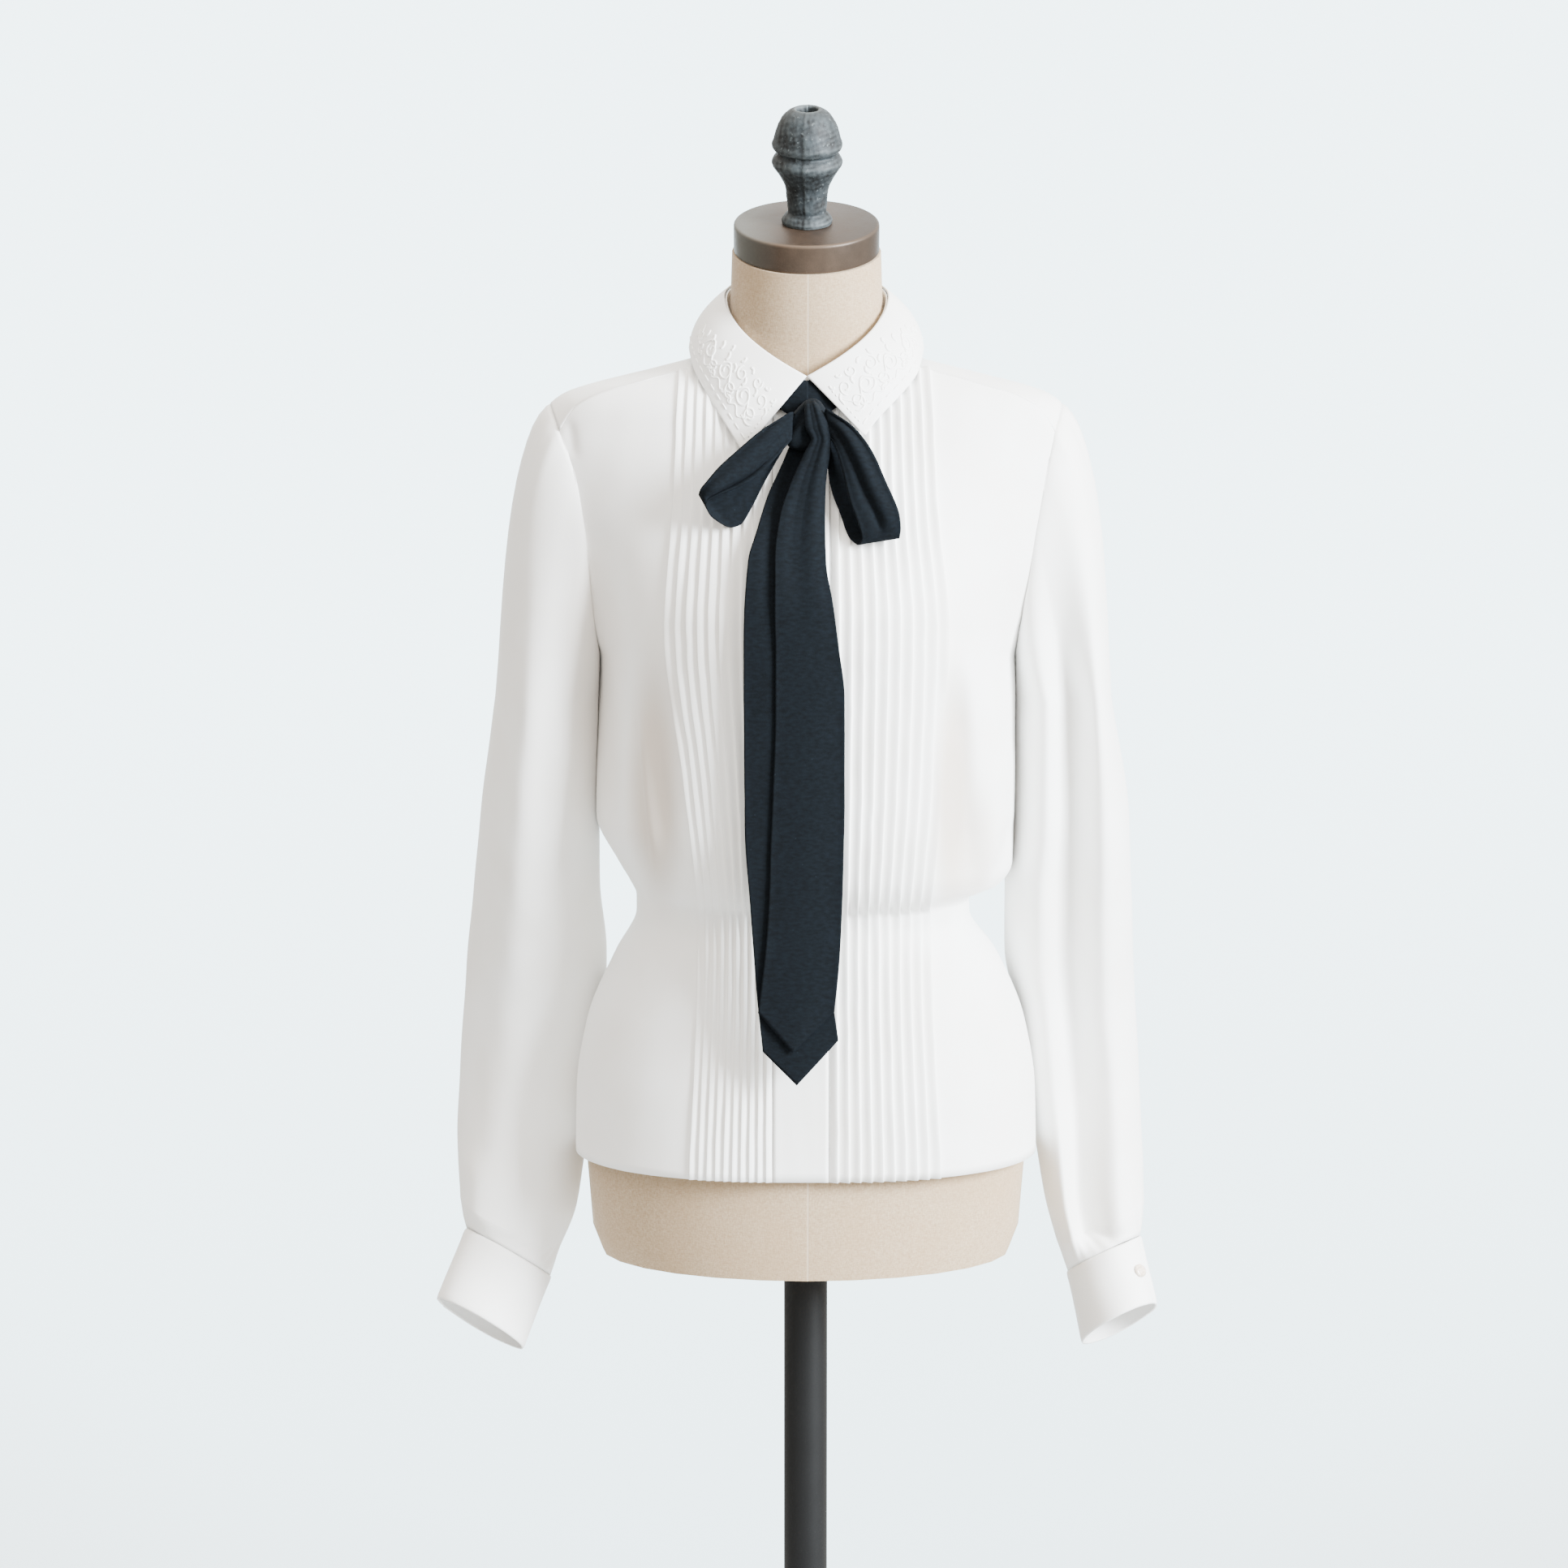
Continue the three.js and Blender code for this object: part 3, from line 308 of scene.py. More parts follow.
def lathe(profile, steps, foot, lean):
    """A profile (radius, height) carried round an axis that stands on a foot and leans forward by degrees."""
    turn = np.linspace(0, 2 * np.pi, steps + 1)[:-1]
    r, up = np.array(profile, float).T
    a = math.radians(lean)
    x, y, up = r[:, None] * np.cos(turn), r[:, None] * np.sin(turn), up[:, None]
    return xyz(foot[0] + x, foot[1] + y * math.cos(a) - up * math.sin(a),
               foot[2] + y * math.sin(a) + up * math.cos(a))


def rounded(profile, radii, steps=5):
    """A profile with each corner replaced by a small curve that starts and ends that far from it."""
    line = [profile[0]]
    for before, corner, after, r in zip(profile, profile[1:], profile[2:], radii):
        before, corner, after = map(np.array, (before, corner, after))
        start = corner + (before - corner) / np.linalg.norm(before - corner) * r
        end = corner + (after - corner) / np.linalg.norm(after - corner) * r
        t = np.linspace(0, 1, steps)[:, None]
        line += [tuple(p) for p in (1 - t) ** 2 * start + 2 * t * (1 - t) * corner + t * t * end]
    return line + [profile[-1]]


LEAN = 19
neck_top = np.array([0, -15.1, 1512.5])
axis = np.array([0, -math.sin(math.radians(LEAN)), math.cos(math.radians(LEAN))])
cap_foot = neck_top + 0.35 * axis

# Bronzed metal: brown-black patina over brass, satin, rubbed to a lighter brown on the rim. Across the disc its
# colour is painted lighter grey on the wearer's right and painted darker on the left, as painted light and shade.
bronze, tree, shader = finish_of("dark bronzed metal", "#352b24", 0.46, Metallic=0.25, Specular_IOR_Level=0.3)
place = object_place(tree)
cloud = noise(tree, place, 70.0, Detail=5.0, Roughness=0.65)
patina = ramp(tree, cloud, (0.32, "#1d1611"), (0.7, "#32271f"))
rim = spread(tree, node(tree, "NewGeometry").outputs["Pointiness"], 0.505, 0.56)
worn = blend(tree, rim, patina, "#6b5a4b")
across = node(tree, "SeparateXYZ", {0: place}).outputs["X"]
# Painted light and shade: lighter grey where x is below 0, darker where x is above 0.
painted_grey_side = blend(tree, spread(tree, across, -0.02, -0.045, 0.0, 0.75), worn, "#595c58")
age_and_painted_dark_side = blend(tree, spread(tree, across, 0.015, 0.05, 0.0, 0.6), painted_grey_side, "#0f0b08")
tree.links.new(age_and_painted_dark_side, shader.inputs["Base Color"])
tree.links.new(spread(tree, cloud, 0.0, 1.0, 0.34, 0.52), shader.inputs["Roughness"])
relief(tree, shader, noise(tree, place, 900.0, Detail=2.0), 0.25, 0.0002)
disc = rounded([(0, 0), (51.8, 0), (51.8, 20.5), (0, 20.5)], (1.2, 2.4))
surface("form_cap_disc", lathe(disc, 128, cap_foot, LEAN), bronze, ring=True,
        slot="cap", node_names=["form_cap"])

# Cast zinc: grey with a bluish bloom, paler where it is rubbed and chalky in the pits, with a mould seam.
zinc, tree, shader = finish_of("weathered cast zinc", "#3a3f42", 0.6, Metallic=0.2, Specular_IOR_Level=0.3)
place = object_place(tree)
cloud = noise(tree, place, 95.0, Detail=6.0, Roughness=0.7)
cast_tone = ramp(tree, cloud, (0.38, "#131415"), (0.72, "#3b4347"))
rub = spread(tree, node(tree, "NewGeometry").outputs["Pointiness"], 0.5, 0.56)
chalk = noise(tree, place, 320.0, Detail=4.0)
lifted = combined(tree, rub, spread(tree, chalk, 0.62, 0.7, 0.0, 0.7), "MAXIMUM")
tree.links.new(blend(tree, lifted, cast_tone, "#5d6466"), shader.inputs["Base Color"])
relief(tree, shader, chalk, 0.35, 0.0004)

FINIAL = dict(
    up=[0, 2, 5, 8.5, 13, 20, 26, 32.4, 38.5, 42, 45, 48, 51.5, 54.5, 57.5, 61, 69, 77, 81, 82.8],
    radius=[17.6, 18, 16.4, 13.4, 14.1, 14.6, 15.4, 18.2, 21.8, 24.2,
            25, 23.8, 21.4, 24, 25, 23.8, 21.6, 17.6, 13.4, 9.8],
)
HOLE_FLOOR = 74.5  # the small hole in the finial's top goes down to here
outside = np.linspace(0, 82.8, 130)
up = np.concatenate([[0], outside, [82.9, 82.4, 81], np.linspace(80, 75, 4), [HOLE_FLOOR]])
radius = np.concatenate([[0], curve(FINIAL, "radius", outside), [8.8, 8.0, 7.6], np.linspace(7.4, 6.6, 4), [0]])
cast = lathe(list(zip(radius, up)), 128, cap_foot + 20.8 * axis, LEAN)
turn = np.linspace(0, 2 * np.pi, 129)[:-1]
centre = cast.mean(axis=1, keepdims=True)
out = cast - centre
length = np.linalg.norm(out, axis=-1, keepdims=True)
# The halves of the mould met a little out of line, just off the middle, and the foot is chipped on one side.
past_seam = np.sin(turn + np.pi / 2 + 0.1)
mould = 0.3 * np.tanh(past_seam / 0.04) + 0.2 * bell(past_seam, 0, 0.05)
lumps = sum(high * waves(*np.moveaxis(cast, -1, 0), seed=seed, scale=scale)
            for high, seed, scale in ((0.3, 3, 16), (0.18, 4, 6)))
chip = -1.8 * bell(turn, 5.9, 0.35) * bell(up, 17, 4)[:, None]
grown = np.where(length[..., 0] > 7, mould + lumps + chip, 0.3 * lumps)
cast = centre + out + out / np.maximum(length, 1) * grown[..., None]
surface("form_finial_casting", cast, zinc, ring=True, slot="finial", node_names=["form_finial"])

# Powder-coated steel: satin black with a fine orange-peel.
steel, tree, shader = finish_of("black powder-coated steel", "#0c0d0e", 0.55, Specular_IOR_Level=0.2)
place = object_place(tree)
scuff = noise(tree, place, 24.0, Detail=6.0)
tree.links.new(spread(tree, scuff, 0.0, 1.0, 0.38, 0.6), shader.inputs["Roughness"])
relief(tree, shader, noise(tree, place, 700.0, Detail=1.0), 0.2, 0.0002)
foot = rounded([(0, 0), (190, 0), (190, 8), (184, 13), (70, 24), (30, 30), (0, 30)], (1, 2, 4, 8, 2))
surface("stand_base_plate", lathe(foot, 128, (0, 0, 0), 0), steel, ring=True,
        slot="stand", node_names=["stand_base"])
pole = rounded([(0, 30.3), (16, 30.3), (16, 781.7), (0, 781.7)], (1, 1))
surface("stand_pole_tube", lathe(pole, 64, (0, 0, 0), 0), steel, ring=True,
        slot="stand", node_names=["stand_pole"])


# Fronts and placket: crepe de chine cut as two fronts, each with ten pin tucks pressed towards its
# armhole and sewn down, and a narrow band over the middle whose buttons the tie hides.

CLOTH = 1.2  # height of the cloth's face over the body surface, as in the solids
SEAM = 0.3
HEM, WAIST, UNDERARM = 858, 1044, 1222
YOKE_FRONT, YOKE_BACK = 1384, 1338  # heights of the yoke's seams at the armhole
RISE = 1262  # from here up the fronts' rows are lifted towards the neck and yoke seams
PLACKET = (-23.8, 15.6)
BODY = dict(
    z=[858, 905, 955, 1005, 1036, 1048, 1058, 1072, 1107, 1222, 1236, 1255, 1285, 1318, 1350, 1384, 1406, 1434],
    right=[168, 167, 159, 138, 122.5, 122.5, 127, 135, 151.5, 149, 150, 152, 155, 158.5, 163, 175, 184, 184],
    left=[168, 167, 159, 138, 118, 118, 141, 149, 150, 151, 151.5, 154, 159, 164, 169, 176, 184, 184],
    front_side=[4, 4, 4, 4, 4, 4, 4, 4, 4, 5, -20, -36, -45, -48, -45, -35, -24, -9],
    back_side=[4, 4, 4, 4, 4, 4, 4, 4, 4, 5, 26, 42, 54, 61, 64, 56, 40, 20],
    front=[-111, -111, -107, -100, -95, -97, -107, -114, -120, -125, -126, -126, -119, -106, -91, -73, -62, -26],
    back=[120, 120, 112, 98, 87, 88, 96, 102, 106, 103, 102, 101, 101, 100, 94, 80, 70, 60],
    corner=[0.5, 0.5, 0.5, 0.5, 0.5, 0.5, 0.5, 0.5, 0.5, 0.5, 0.66, 0.84, 1, 1.1, 1.1, 1.05, 1, 1],
)
BAND = dict(z=[858, 1039, 1137, 1250, 1330, 1420], right=[84, 77, 86, 100, 95, 92], left=[96, 88, 95, 99, 92, 89])
TOP_EDGE = dict(x=[0, 20, 40, 62, 81, 119, 142, 162, 168, 176],
                z=[1406, 1409, 1417, 1434, 1429, 1419, 1412.5, 1403, 1396.5, 1384])
SIDES = {"right": -1, "left": 1}


def skin(side, face, x, z):
    """The body surface at widths and heights: from the side seam its depth grows to the middle's by one minus the
    share of the width to the power 2.5, all to the power of the corner at that height."""
    across = np.clip(x / curve(BODY, side, z), 0, 1)
    edge = curve(BODY, "front_side" if face < 0 else "back_side", z)
    middle = curve(BODY, "front" if face < 0 else "back", z)
    y = edge + (middle - edge) * (1 - across ** 2.5) ** curve(BODY, "corner", z)
    return xyz(SIDES[side] * x, y + face * SEAM / 2, z)


def normals(points, ring=False):
    """Unit normals of a grid, across times up, from the differences between neighbours."""
    if ring:
        across = np.roll(points, -1, axis=1) - np.roll(points, 1, axis=1)
    else:
        across = np.gradient(points, axis=1)
    up = np.gradient(points, axis=0)
    n = np.cross(across, up)
    return n / np.maximum(np.linalg.norm(n, axis=-1, keepdims=True), 1e-9)


def crease(x, z, path, width, depth, sharp=0.0):
    """A soft trough (depth below 0) or ridge along a path of (x, z) points seen from the front: a bell of the
    distance to the path, lopsided by sharp, which fades towards both ends of the path."""
    path = np.array(path, float)
    lengths = distances(path)
    best, share, sign = np.full(x.shape, 1e9), np.zeros(x.shape), np.ones(x.shape)
    for k, (a, b) in enumerate(zip(path[:-1], path[1:])):
        d = b - a
        t = np.clip(((x - a[0]) * d[0] + (z - a[1]) * d[1]) / (d @ d), 0, 1)
        away = np.hypot(x - a[0] - t * d[0], z - a[1] - t * d[1])
        near = away < best
        best = np.where(near, away, best)
        share = np.where(near, (lengths[k] + t * (lengths[k + 1] - lengths[k])) / lengths[-1], share)
        sign = np.where(near, np.sign((x - a[0]) * d[1] - (z - a[1]) * d[0]), sign)
    fade = smooth(share, 0.0, 0.3) * (1 - smooth(share, 0.7, 1.0))
    return depth * bell(best, 0, width * (1 + sharp * sign)) * fade


# Crepe de chine: highly twisted threads give a fine pebbled face and a soft low lustre, and its white has painted
# warm shade in places. Its grain, under 0.5 mm, is drawn at 1 mm so that it shows.
crepe, tree, shader = finish_of("white crepe de chine", "#f7f7f5", 0.62, Sheen_Weight=0.2, Sheen_Roughness=0.4)
place = object_place(tree)
pebble = noise(tree, place, 950.0, Detail=2.0, Roughness=0.6)
warp = noise(tree, stretched(tree, place, (1.0, 1.0, 0.08)), 330.0, Detail=2.0)
cloth_tone = ramp(tree, noise(tree, place, 18.0, Detail=3.0), (0.3, "#f4f3f0"), (0.7, "#f9faf9"))
# Painted shade, in four soft warm spots under the bust and by the wearer's right armhole: middle, size and share.
for middle, size, share in (
    ((-0.108, -0.1, 1.135), (0.026, 0.09, 0.13), 0.95), ((-0.152, -0.05, 1.2), (0.03, 0.09, 0.16), 0.5),
    ((0.104, -0.1, 1.13), (0.02, 0.09, 0.12), 1.0), ((0.122, -0.1, 1.09), (0.02, 0.09, 0.07), 0.6),
):
    shade_spot = node(tree, "Mapping", {"Vector": place, "Location": middle, "Scale": size}, vector_type="TEXTURE")
    shade_falloff = node(tree, "TexGradient", {"Vector": shade_spot.outputs[0]}, gradient_type="SPHERICAL").outputs["Fac"]
    shade_amount = node(tree, "MapRange", {"Value": shade_falloff, "From Max": 0.7, "To Max": share},
                  interpolation_type="SMOOTHSTEP")
    # Each spot is painted shade that darkens the cloth's colour.
    cloth_tone = blend(tree, shade_amount.outputs[0], cloth_tone, "#cfc5ba")
tree.links.new(cloth_tone, shader.inputs["Base Color"])
relief(tree, shader, combined(tree, pebble, warp), 0.12, 0.0002)

TUCK_STEPS = np.array([0, 0.2, 0.4, 0.58, 0.7, 0.76, 0.8, 0.84, 0.9])
TUCK_FULLNESS = {"right": 0.9, "left": 1.5}


def tuck(share):
    """Height of a pressed pin tuck over its pitch: a slow rise to its fold at three quarters, then a fall."""
    return 2.1 * np.sin(np.pi / 2 * np.clip(share / 0.77, 0, 1)) ** 1.3 * (1 - smooth(share, 0.775, 0.85))


FRONT_CREASES = {
    "right": [
        ([(-131, 1227), (-124, 1200), (-118, 1127), (-113, 1080), (-109, 1056)], 6, -4.0, 0.4),
        ([(-122, 1205), (-112, 1120), (-103, 1060)], 8, 2.4, 0),
        ([(-168, 1395), (-164, 1365)], 4, -1.4, 0),
        ([(-146, 1250), (-143, 1170), (-130, 1070)], 9, -2.6, 0),
        ([(-107, 1228), (-105, 1150), (-97, 1085), (-90, 1054)], 12, -4.6, 0.3),
        ([(-150, 1330), (-138, 1290), (-128, 1240)], 14, -1.6, 0),
    ],
    "left": [
        ([(104, 1232), (113, 1170), (118, 1100), (115, 1054)], 9, -5.0, 0.4),
        ([(140, 1170), (134, 1110), (125, 1062)], 10, 2.4, 0),
        ([(99, 1228), (102, 1150), (107, 1090), (108, 1054)], 11, -5.0, -0.2),
        ([(150, 1300), (140, 1250), (134, 1190)], 12, -1.6, 0),
        ([(124, 1330), (122, 1260), (116, 1210)], 16, -1.4, 0),
        ([(146, 1110), (141, 1080), (132, 1060)], 6, -2.0, 0.2),
    ],
}


def front_sheet(side, columns, heights):
    """A front's body surface: columns 0 to 1 cross the tucked band and 1 to 2 go on to the side seam. Above the
    bust each row is lifted more and more, so the last one lies along the neck and yoke seams."""
    start = (-PLACKET[0] if side == "right" else PLACKET[1]) + SEAM
    height, column = np.meshgrid(heights, columns, indexing="ij")
    lift = smooth(height, RISE, YOKE_FRONT)
    z = height
    for _ in range(5):
        band, half = curve(BAND, side, z), curve(BODY, side, z)
        rest = half * np.sin(np.arcsin(np.clip(band / half, 0, 1)) * (2 - column) + np.pi / 2 * (column - 1))
        x = np.where(column <= 1, start + (band - start) * column, rest)
        z = height + lift * (curve(TOP_EDGE, "z", x) - SEAM - YOKE_FRONT)
    return skin(side, -1, x, z)


for side, sign in SIDES.items():
    columns = np.concatenate([((np.arange(10)[:, None] + TUCK_STEPS) / 10).reshape(-1), np.linspace(1, 2, 56)])
    heights = np.concatenate([np.arange(HEM, 1030, 6.0), np.arange(1030, YOKE_FRONT, 3.5), [1385.6]])
    base = front_sheet(side, columns, heights)
    height_of = np.broadcast_to(heights[:, None], base.shape[:2])
    x, z = base[..., 0], base[..., 2]
    column = np.broadcast_to(columns, x.shape)
    number = np.clip(np.floor(column * 10), 0, 9)
    sway = 0.05 * waves(z, number * 37.0, seed=5, scale=60) + 0.03 * waves(z, number * 53.0, seed=6, scale=24)
    share = np.clip((column * 10 - number) + sway * np.sin(np.pi * (column * 10 - number)), 0, 1)
    fullness = TUCK_FULLNESS[side] + 0.18 * waves(z, number * 29.0, seed=8, scale=80)
    raised = np.where(column < 1, tuck(share), 0) * fullness
    drape = sum(crease(x, z, *c) for c in FRONT_CREASES[side])
    loose = smooth(column, 1.05, 1.3) * (1 - smooth(column, 1.85, 2.0))
    drape = drape * (1 - smooth(column, 1.9, 2.0)) + loose * 0.7 * waves(x, z * 0.3, seed=11, scale=60)
    gather = bell(z, WAIST, 16) * 0.8 * waves(x, z * 0.1, seed=12, scale=17) * (1 - smooth(column, 1.9, 2))
    under = 0.55 * smooth(height_of, 1378, 1384)
    face = base + normals(base) * (sign * (CLOTH + raised + drape + gather - under))[..., None]
    made = surface(f"front_{side}_crepe", face, crepe, turned=sign < 0, thick=0.7,
                   slot="crepe", node_names=[f"front_{side}"])

widths = np.linspace(PLACKET[0] + 0.02, PLACKET[1] - 0.02, 15)
height, x = np.meshgrid([*np.arange(HEM, YOKE_FRONT, 7.0), YOKE_FRONT], widths, indexing="ij")
z = height + smooth(height, RISE, YOKE_FRONT) * (curve(TOP_EDGE, "z", np.abs(x)) - SEAM - YOKE_FRONT)
band = skin("left", -1, np.abs(x), z)
band[..., 0] = x
fold = 0.35 * bell(np.abs(x - widths[[0, -1]].mean()), 17, 1.2)
band = band + normals(band) * (CLOTH + 0.5 + fold * 0.6 + 0.3 * waves(x, z, seed=14, scale=45))[..., None]
made = surface("front_placket_crepe", band, crepe, thick=0.9, slot="crepe", node_names=["front_placket"])


# Back and yoke: a plain back and a one-piece yoke over both shoulders, joined by a felled seam.

YOKE_FRONT_Y = -35
SHOULDER = dict(half=183, y=3, z=1403)
NECK = dict(half=66, y=-2.1, deep=58.1, back=1447)
NECK_CORNER = 70.0  # the angle from the middle front where the fronts' neck edge meets the yoke's
BACK_DRAPE = (
    ([(-70, 1180), (-64, 1120), (-58, 1058)], 9, -1.6), ([(66, 1170), (62, 1110), (52, 1058)], 8, -1.4),
    ([(-20, 1150), (-16, 1100), (-14, 1056)], 10, 1.2), ([(112, 1190), (108, 1120), (95, 1058)], 8, -1.2),
    ([(-114, 1200), (-108, 1130), (-98, 1058)], 8, -1.3),
)

heights = np.concatenate([np.arange(HEM, 1030, 6.0), np.arange(1030, 1337, 4.0), [YOKE_BACK - SEAM]])
height, column = np.meshgrid(heights, np.linspace(-1, 1, 121), indexing="ij")
half = np.where(column < 0, curve(BODY, "right", height), curve(BODY, "left", height))
x = half * np.sin(np.abs(column) * np.pi / 2)
base = np.where((column < 0)[..., None], skin("right", 1, x, height), skin("left", 1, x, height))
x = base[..., 0]
drape = sum(crease(x, height, *c) for c in BACK_DRAPE) + 0.9 * waves(x, height * 0.3, seed=21, scale=80)
gather = bell(height, WAIST, 16) * waves(x, height * 0.1, seed=22, scale=17)
fade = 1 - smooth(np.abs(column), 0.93, 1)
topfade = 1 - smooth(height, 1315, 1336)
face = base - normals(base) * (CLOTH + (drape * topfade + gather) * fade)[..., None]
made = surface("back_crepe", face, crepe, turned=True, thick=0.7, slot="crepe", node_names=["back"])


def shoulder_edge(sign, y):
    """The armhole over the shoulder, from the front yoke seam to the back one: a parabola down from its crown."""
    side = "right" if sign < 0 else "left"
    front = y < SHOULDER["y"]
    end_z = np.where(front, YOKE_FRONT, YOKE_BACK)
    end_y = np.where(front, YOKE_FRONT_Y, curve(BODY, "back_side", YOKE_BACK))
    share = ((y - SHOULDER["y"]) / (end_y - SHOULDER["y"])) ** 2
    half = SHOULDER["half"] + (curve(BODY, side, end_z) - SHOULDER["half"]) * share
    return xyz(sign * half, y, SHOULDER["z"] + (end_z - SHOULDER["z"]) * share)


def neck_seam(sign, angle):
    """The neck seam on the yoke by angle from the middle front: an oval that sinks towards the front."""
    a = np.radians(angle)
    share = np.clip((180 - angle) / 110, 0, 1)
    return xyz(sign * NECK["half"] * np.sin(a), NECK["y"] - NECK["deep"] * np.cos(a),
               NECK["back"] - 13 * share ** 1.5)


def yoke_points(sign, along, across):
    """The yoke: straight lines from the neck seam (across 0) to its outer edge (across 1), domed over the
    shoulder and hollowed behind it, pulled at the front to the yoke seam. along runs from the front seam to the
    middle back."""
    side = "right" if sign < 0 else "left"
    inner = neck_seam(sign, NECK_CORNER + 110 * along ** 0.9)
    corner = 0.55
    back_y = float(curve(BODY, "back_side", YOKE_BACK))
    half = float(curve(BODY, side, YOKE_BACK))
    over = shoulder_edge(sign, YOKE_FRONT_Y + (back_y - YOKE_FRONT_Y) * np.clip(along / corner, 0, 1))
    behind = skin(side, 1, half * np.cos(np.clip((along - corner) / (1 - corner), 0, 1) * np.pi / 2),
                  np.full(along.shape, float(YOKE_BACK)))
    outer = np.where((along < corner)[..., None], over, behind)
    p = inner + (outer - inner) * across[..., None]
    over_shoulder = 1 - smooth(along, 0.35, 0.75)
    dome = 7 * across * (1 - across ** 12)
    p[..., 2] += dome * over_shoulder
    p[..., 1] += 22 * across * (1 - across) * (1 - over_shoulder)
    first = np.abs(neck_seam(1, np.array(NECK_CORNER))[0])
    seam_x = first + (float(curve(BODY, side, YOKE_FRONT)) - first) * across
    seam = skin(side, -1, seam_x, curve(TOP_EDGE, "z", seam_x))
    start = neck_seam(sign, np.full(across.shape, NECK_CORNER))
    start = start + (shoulder_edge(sign, np.full(across.shape, float(YOKE_FRONT_Y))) - start) * across[..., None]
    start[..., 2] += dome
    return p + (seam - start) * ((1 - np.clip(along / 0.2, 0, 1)) ** 2)[..., None]


along = np.concatenate([np.linspace(0, 0.3, 24), np.linspace(0.3, 1, 44)[1:]])
across = np.concatenate([np.linspace(0, 0.86, 26), np.linspace(0.86, 0.998, 14)[1:]])
r, a = np.meshgrid(across, along, indexing="ij")
base, reach_in, round_in = (np.concatenate([right, left[:, -2::-1]], axis=1) for right, left in (
    (yoke_points(-1, a, r), yoke_points(1, a, r)), (a, a), (r, r)))
stitched = 0.25 * bell(reach_in, 0.035, 0.012) + 0.25 * bell(round_in, 0.962, 0.01) * (reach_in > 0.5)
uneven = 0.25 * waves(*np.moveaxis(base, -1, 0), seed=25, scale=50)
face = base + normals(base) * (CLOTH - stitched + uneven)[..., None]
made = surface("yoke_crepe", face, crepe, thick=0.7, slot="crepe", node_names=["yoke"])


# Sleeves and cuffs: long sleeves with a slightly eased head, hanging in soft vertical folds and gathered into
# doubled cuffs about 57 mm deep. Each cuff closes with one pearl button.

SLEEVES = dict(
    right=dict(
        valley=False,
        cuff=dict(x=221.5, y=26, z=772, half=35, deep=29, outward=19.5, forward=24, drop=47, slope=0.58, pitch=0.35,
                  lap=0.93, slant=4.0),
        rows=dict(
            z=[796, 824, 857, 905, 955, 1000, 1052, 1106, 1192],
            out=[256, 258, 259, 257, 253, 249, 243, 237, 225], fold1=[243, 240, 231, 223, 218, 214, 210, 206, 199],
            fold2=[203, 195, 192, 190, 188, 187, 185, 183, 176], inn=[184, 172, 165, 156, 149, 148, 152, 152, 150],
            y=[31, 37, 43, 47, 43, 34, 22, 12, 4], deep=[32, 36, 39, 41, 42, 44, 47, 50, 53],
            lean=[0.55, 0.4, 0.15, 0, 0, 0, 0, 0, 0]),
        creases=[
            ([(-184, 1400), (-186, 1340), (-193, 1262), (-206, 1110), (-213, 1020), (-221, 920), (-231, 858),
              (-243, 805)], 4.5, 2.6, 0.35),
            ([(-172, 1250), (-183, 1110), (-186, 1036), (-189, 940), (-192, 854), (-191, 780)], 9, 1.6, 0),
            ([(-163, 1320), (-166, 1270), (-168, 1235)], 5, -1.8, 0.3),
            ([(-170, 1130), (-172, 1040), (-173, 930), (-178, 840)], 9, -3.0, 0.2),
            ([(-222, 1100), (-230, 980), (-240, 880), (-247, 815)], 8, -1.6, 0),
            ([(-200, 940), (-203, 880), (-207, 830), (-213, 798)], 6, -1.8, 0.2),
        ]),
    left=dict(
        valley=True,
        cuff=dict(x=222.5, y=28, z=770.5, half=29, deep=34, outward=10, forward=24, drop=46, slope=0.5, pitch=0.33,
                  lap=0.06, slant=5.5),
        rows=dict(
            z=[796, 824, 857, 905, 955, 1000, 1052, 1106, 1192],
            out=[251, 251, 250, 248, 244, 241, 238, 235, 221], fold1=[232, 230, 229, 226, 221, 218, 216, 214, 208],
            fold2=[208, 203, 202, 200, 196, 193, 192, 192, 190], inn=[188, 180, 173, 163, 157, 148, 147, 152, 152],
            y=[32, 38, 43, 47, 43, 34, 22, 12, 4], deep=[35, 37, 39, 41, 42, 44, 47, 50, 53],
            lean=[0.45, 0.35, 0.15, 0, 0, 0, 0, 0, 0]),
        creases=[
            ([(186, 1385), (188, 1290), (191, 1170), (186, 1090), (187, 1000), (186, 925)], 6, -1.8, 0.2),
            ([(204, 975), (203, 898), (199, 833), (197, 775)], 6, -2.6, 0.3),
            ([(214, 1000), (215, 910), (213, 840), (212, 790)], 7, 1.6, 0),
            ([(172, 1120), (170, 1020), (174, 930)], 9, 1.4, 0),
            ([(166, 1310), (163, 1260), (160, 1225)], 5, -1.2, 0.3),
            ([(228, 1060), (232, 960), (236, 880)], 7, -1.2, 0),
        ]),
)
HEAD_STEPS = [0, 0.012, 0.04, 0.08, 0.13, 0.19, 0.26, 0.34, 0.43, 0.53, 0.64, 0.76, 0.88]
AROUND = 120
SHARES_ROUND = np.arange(AROUND) / AROUND
BACK_CREASES = [
    (0.55, 1330, 900, 0.05, -2.0), (0.64, 1280, 840, 0.06, 2.2), (0.72, 1220, 800, 0.05, -2.4),
    (0.81, 1180, 860, 0.06, 1.8),
]


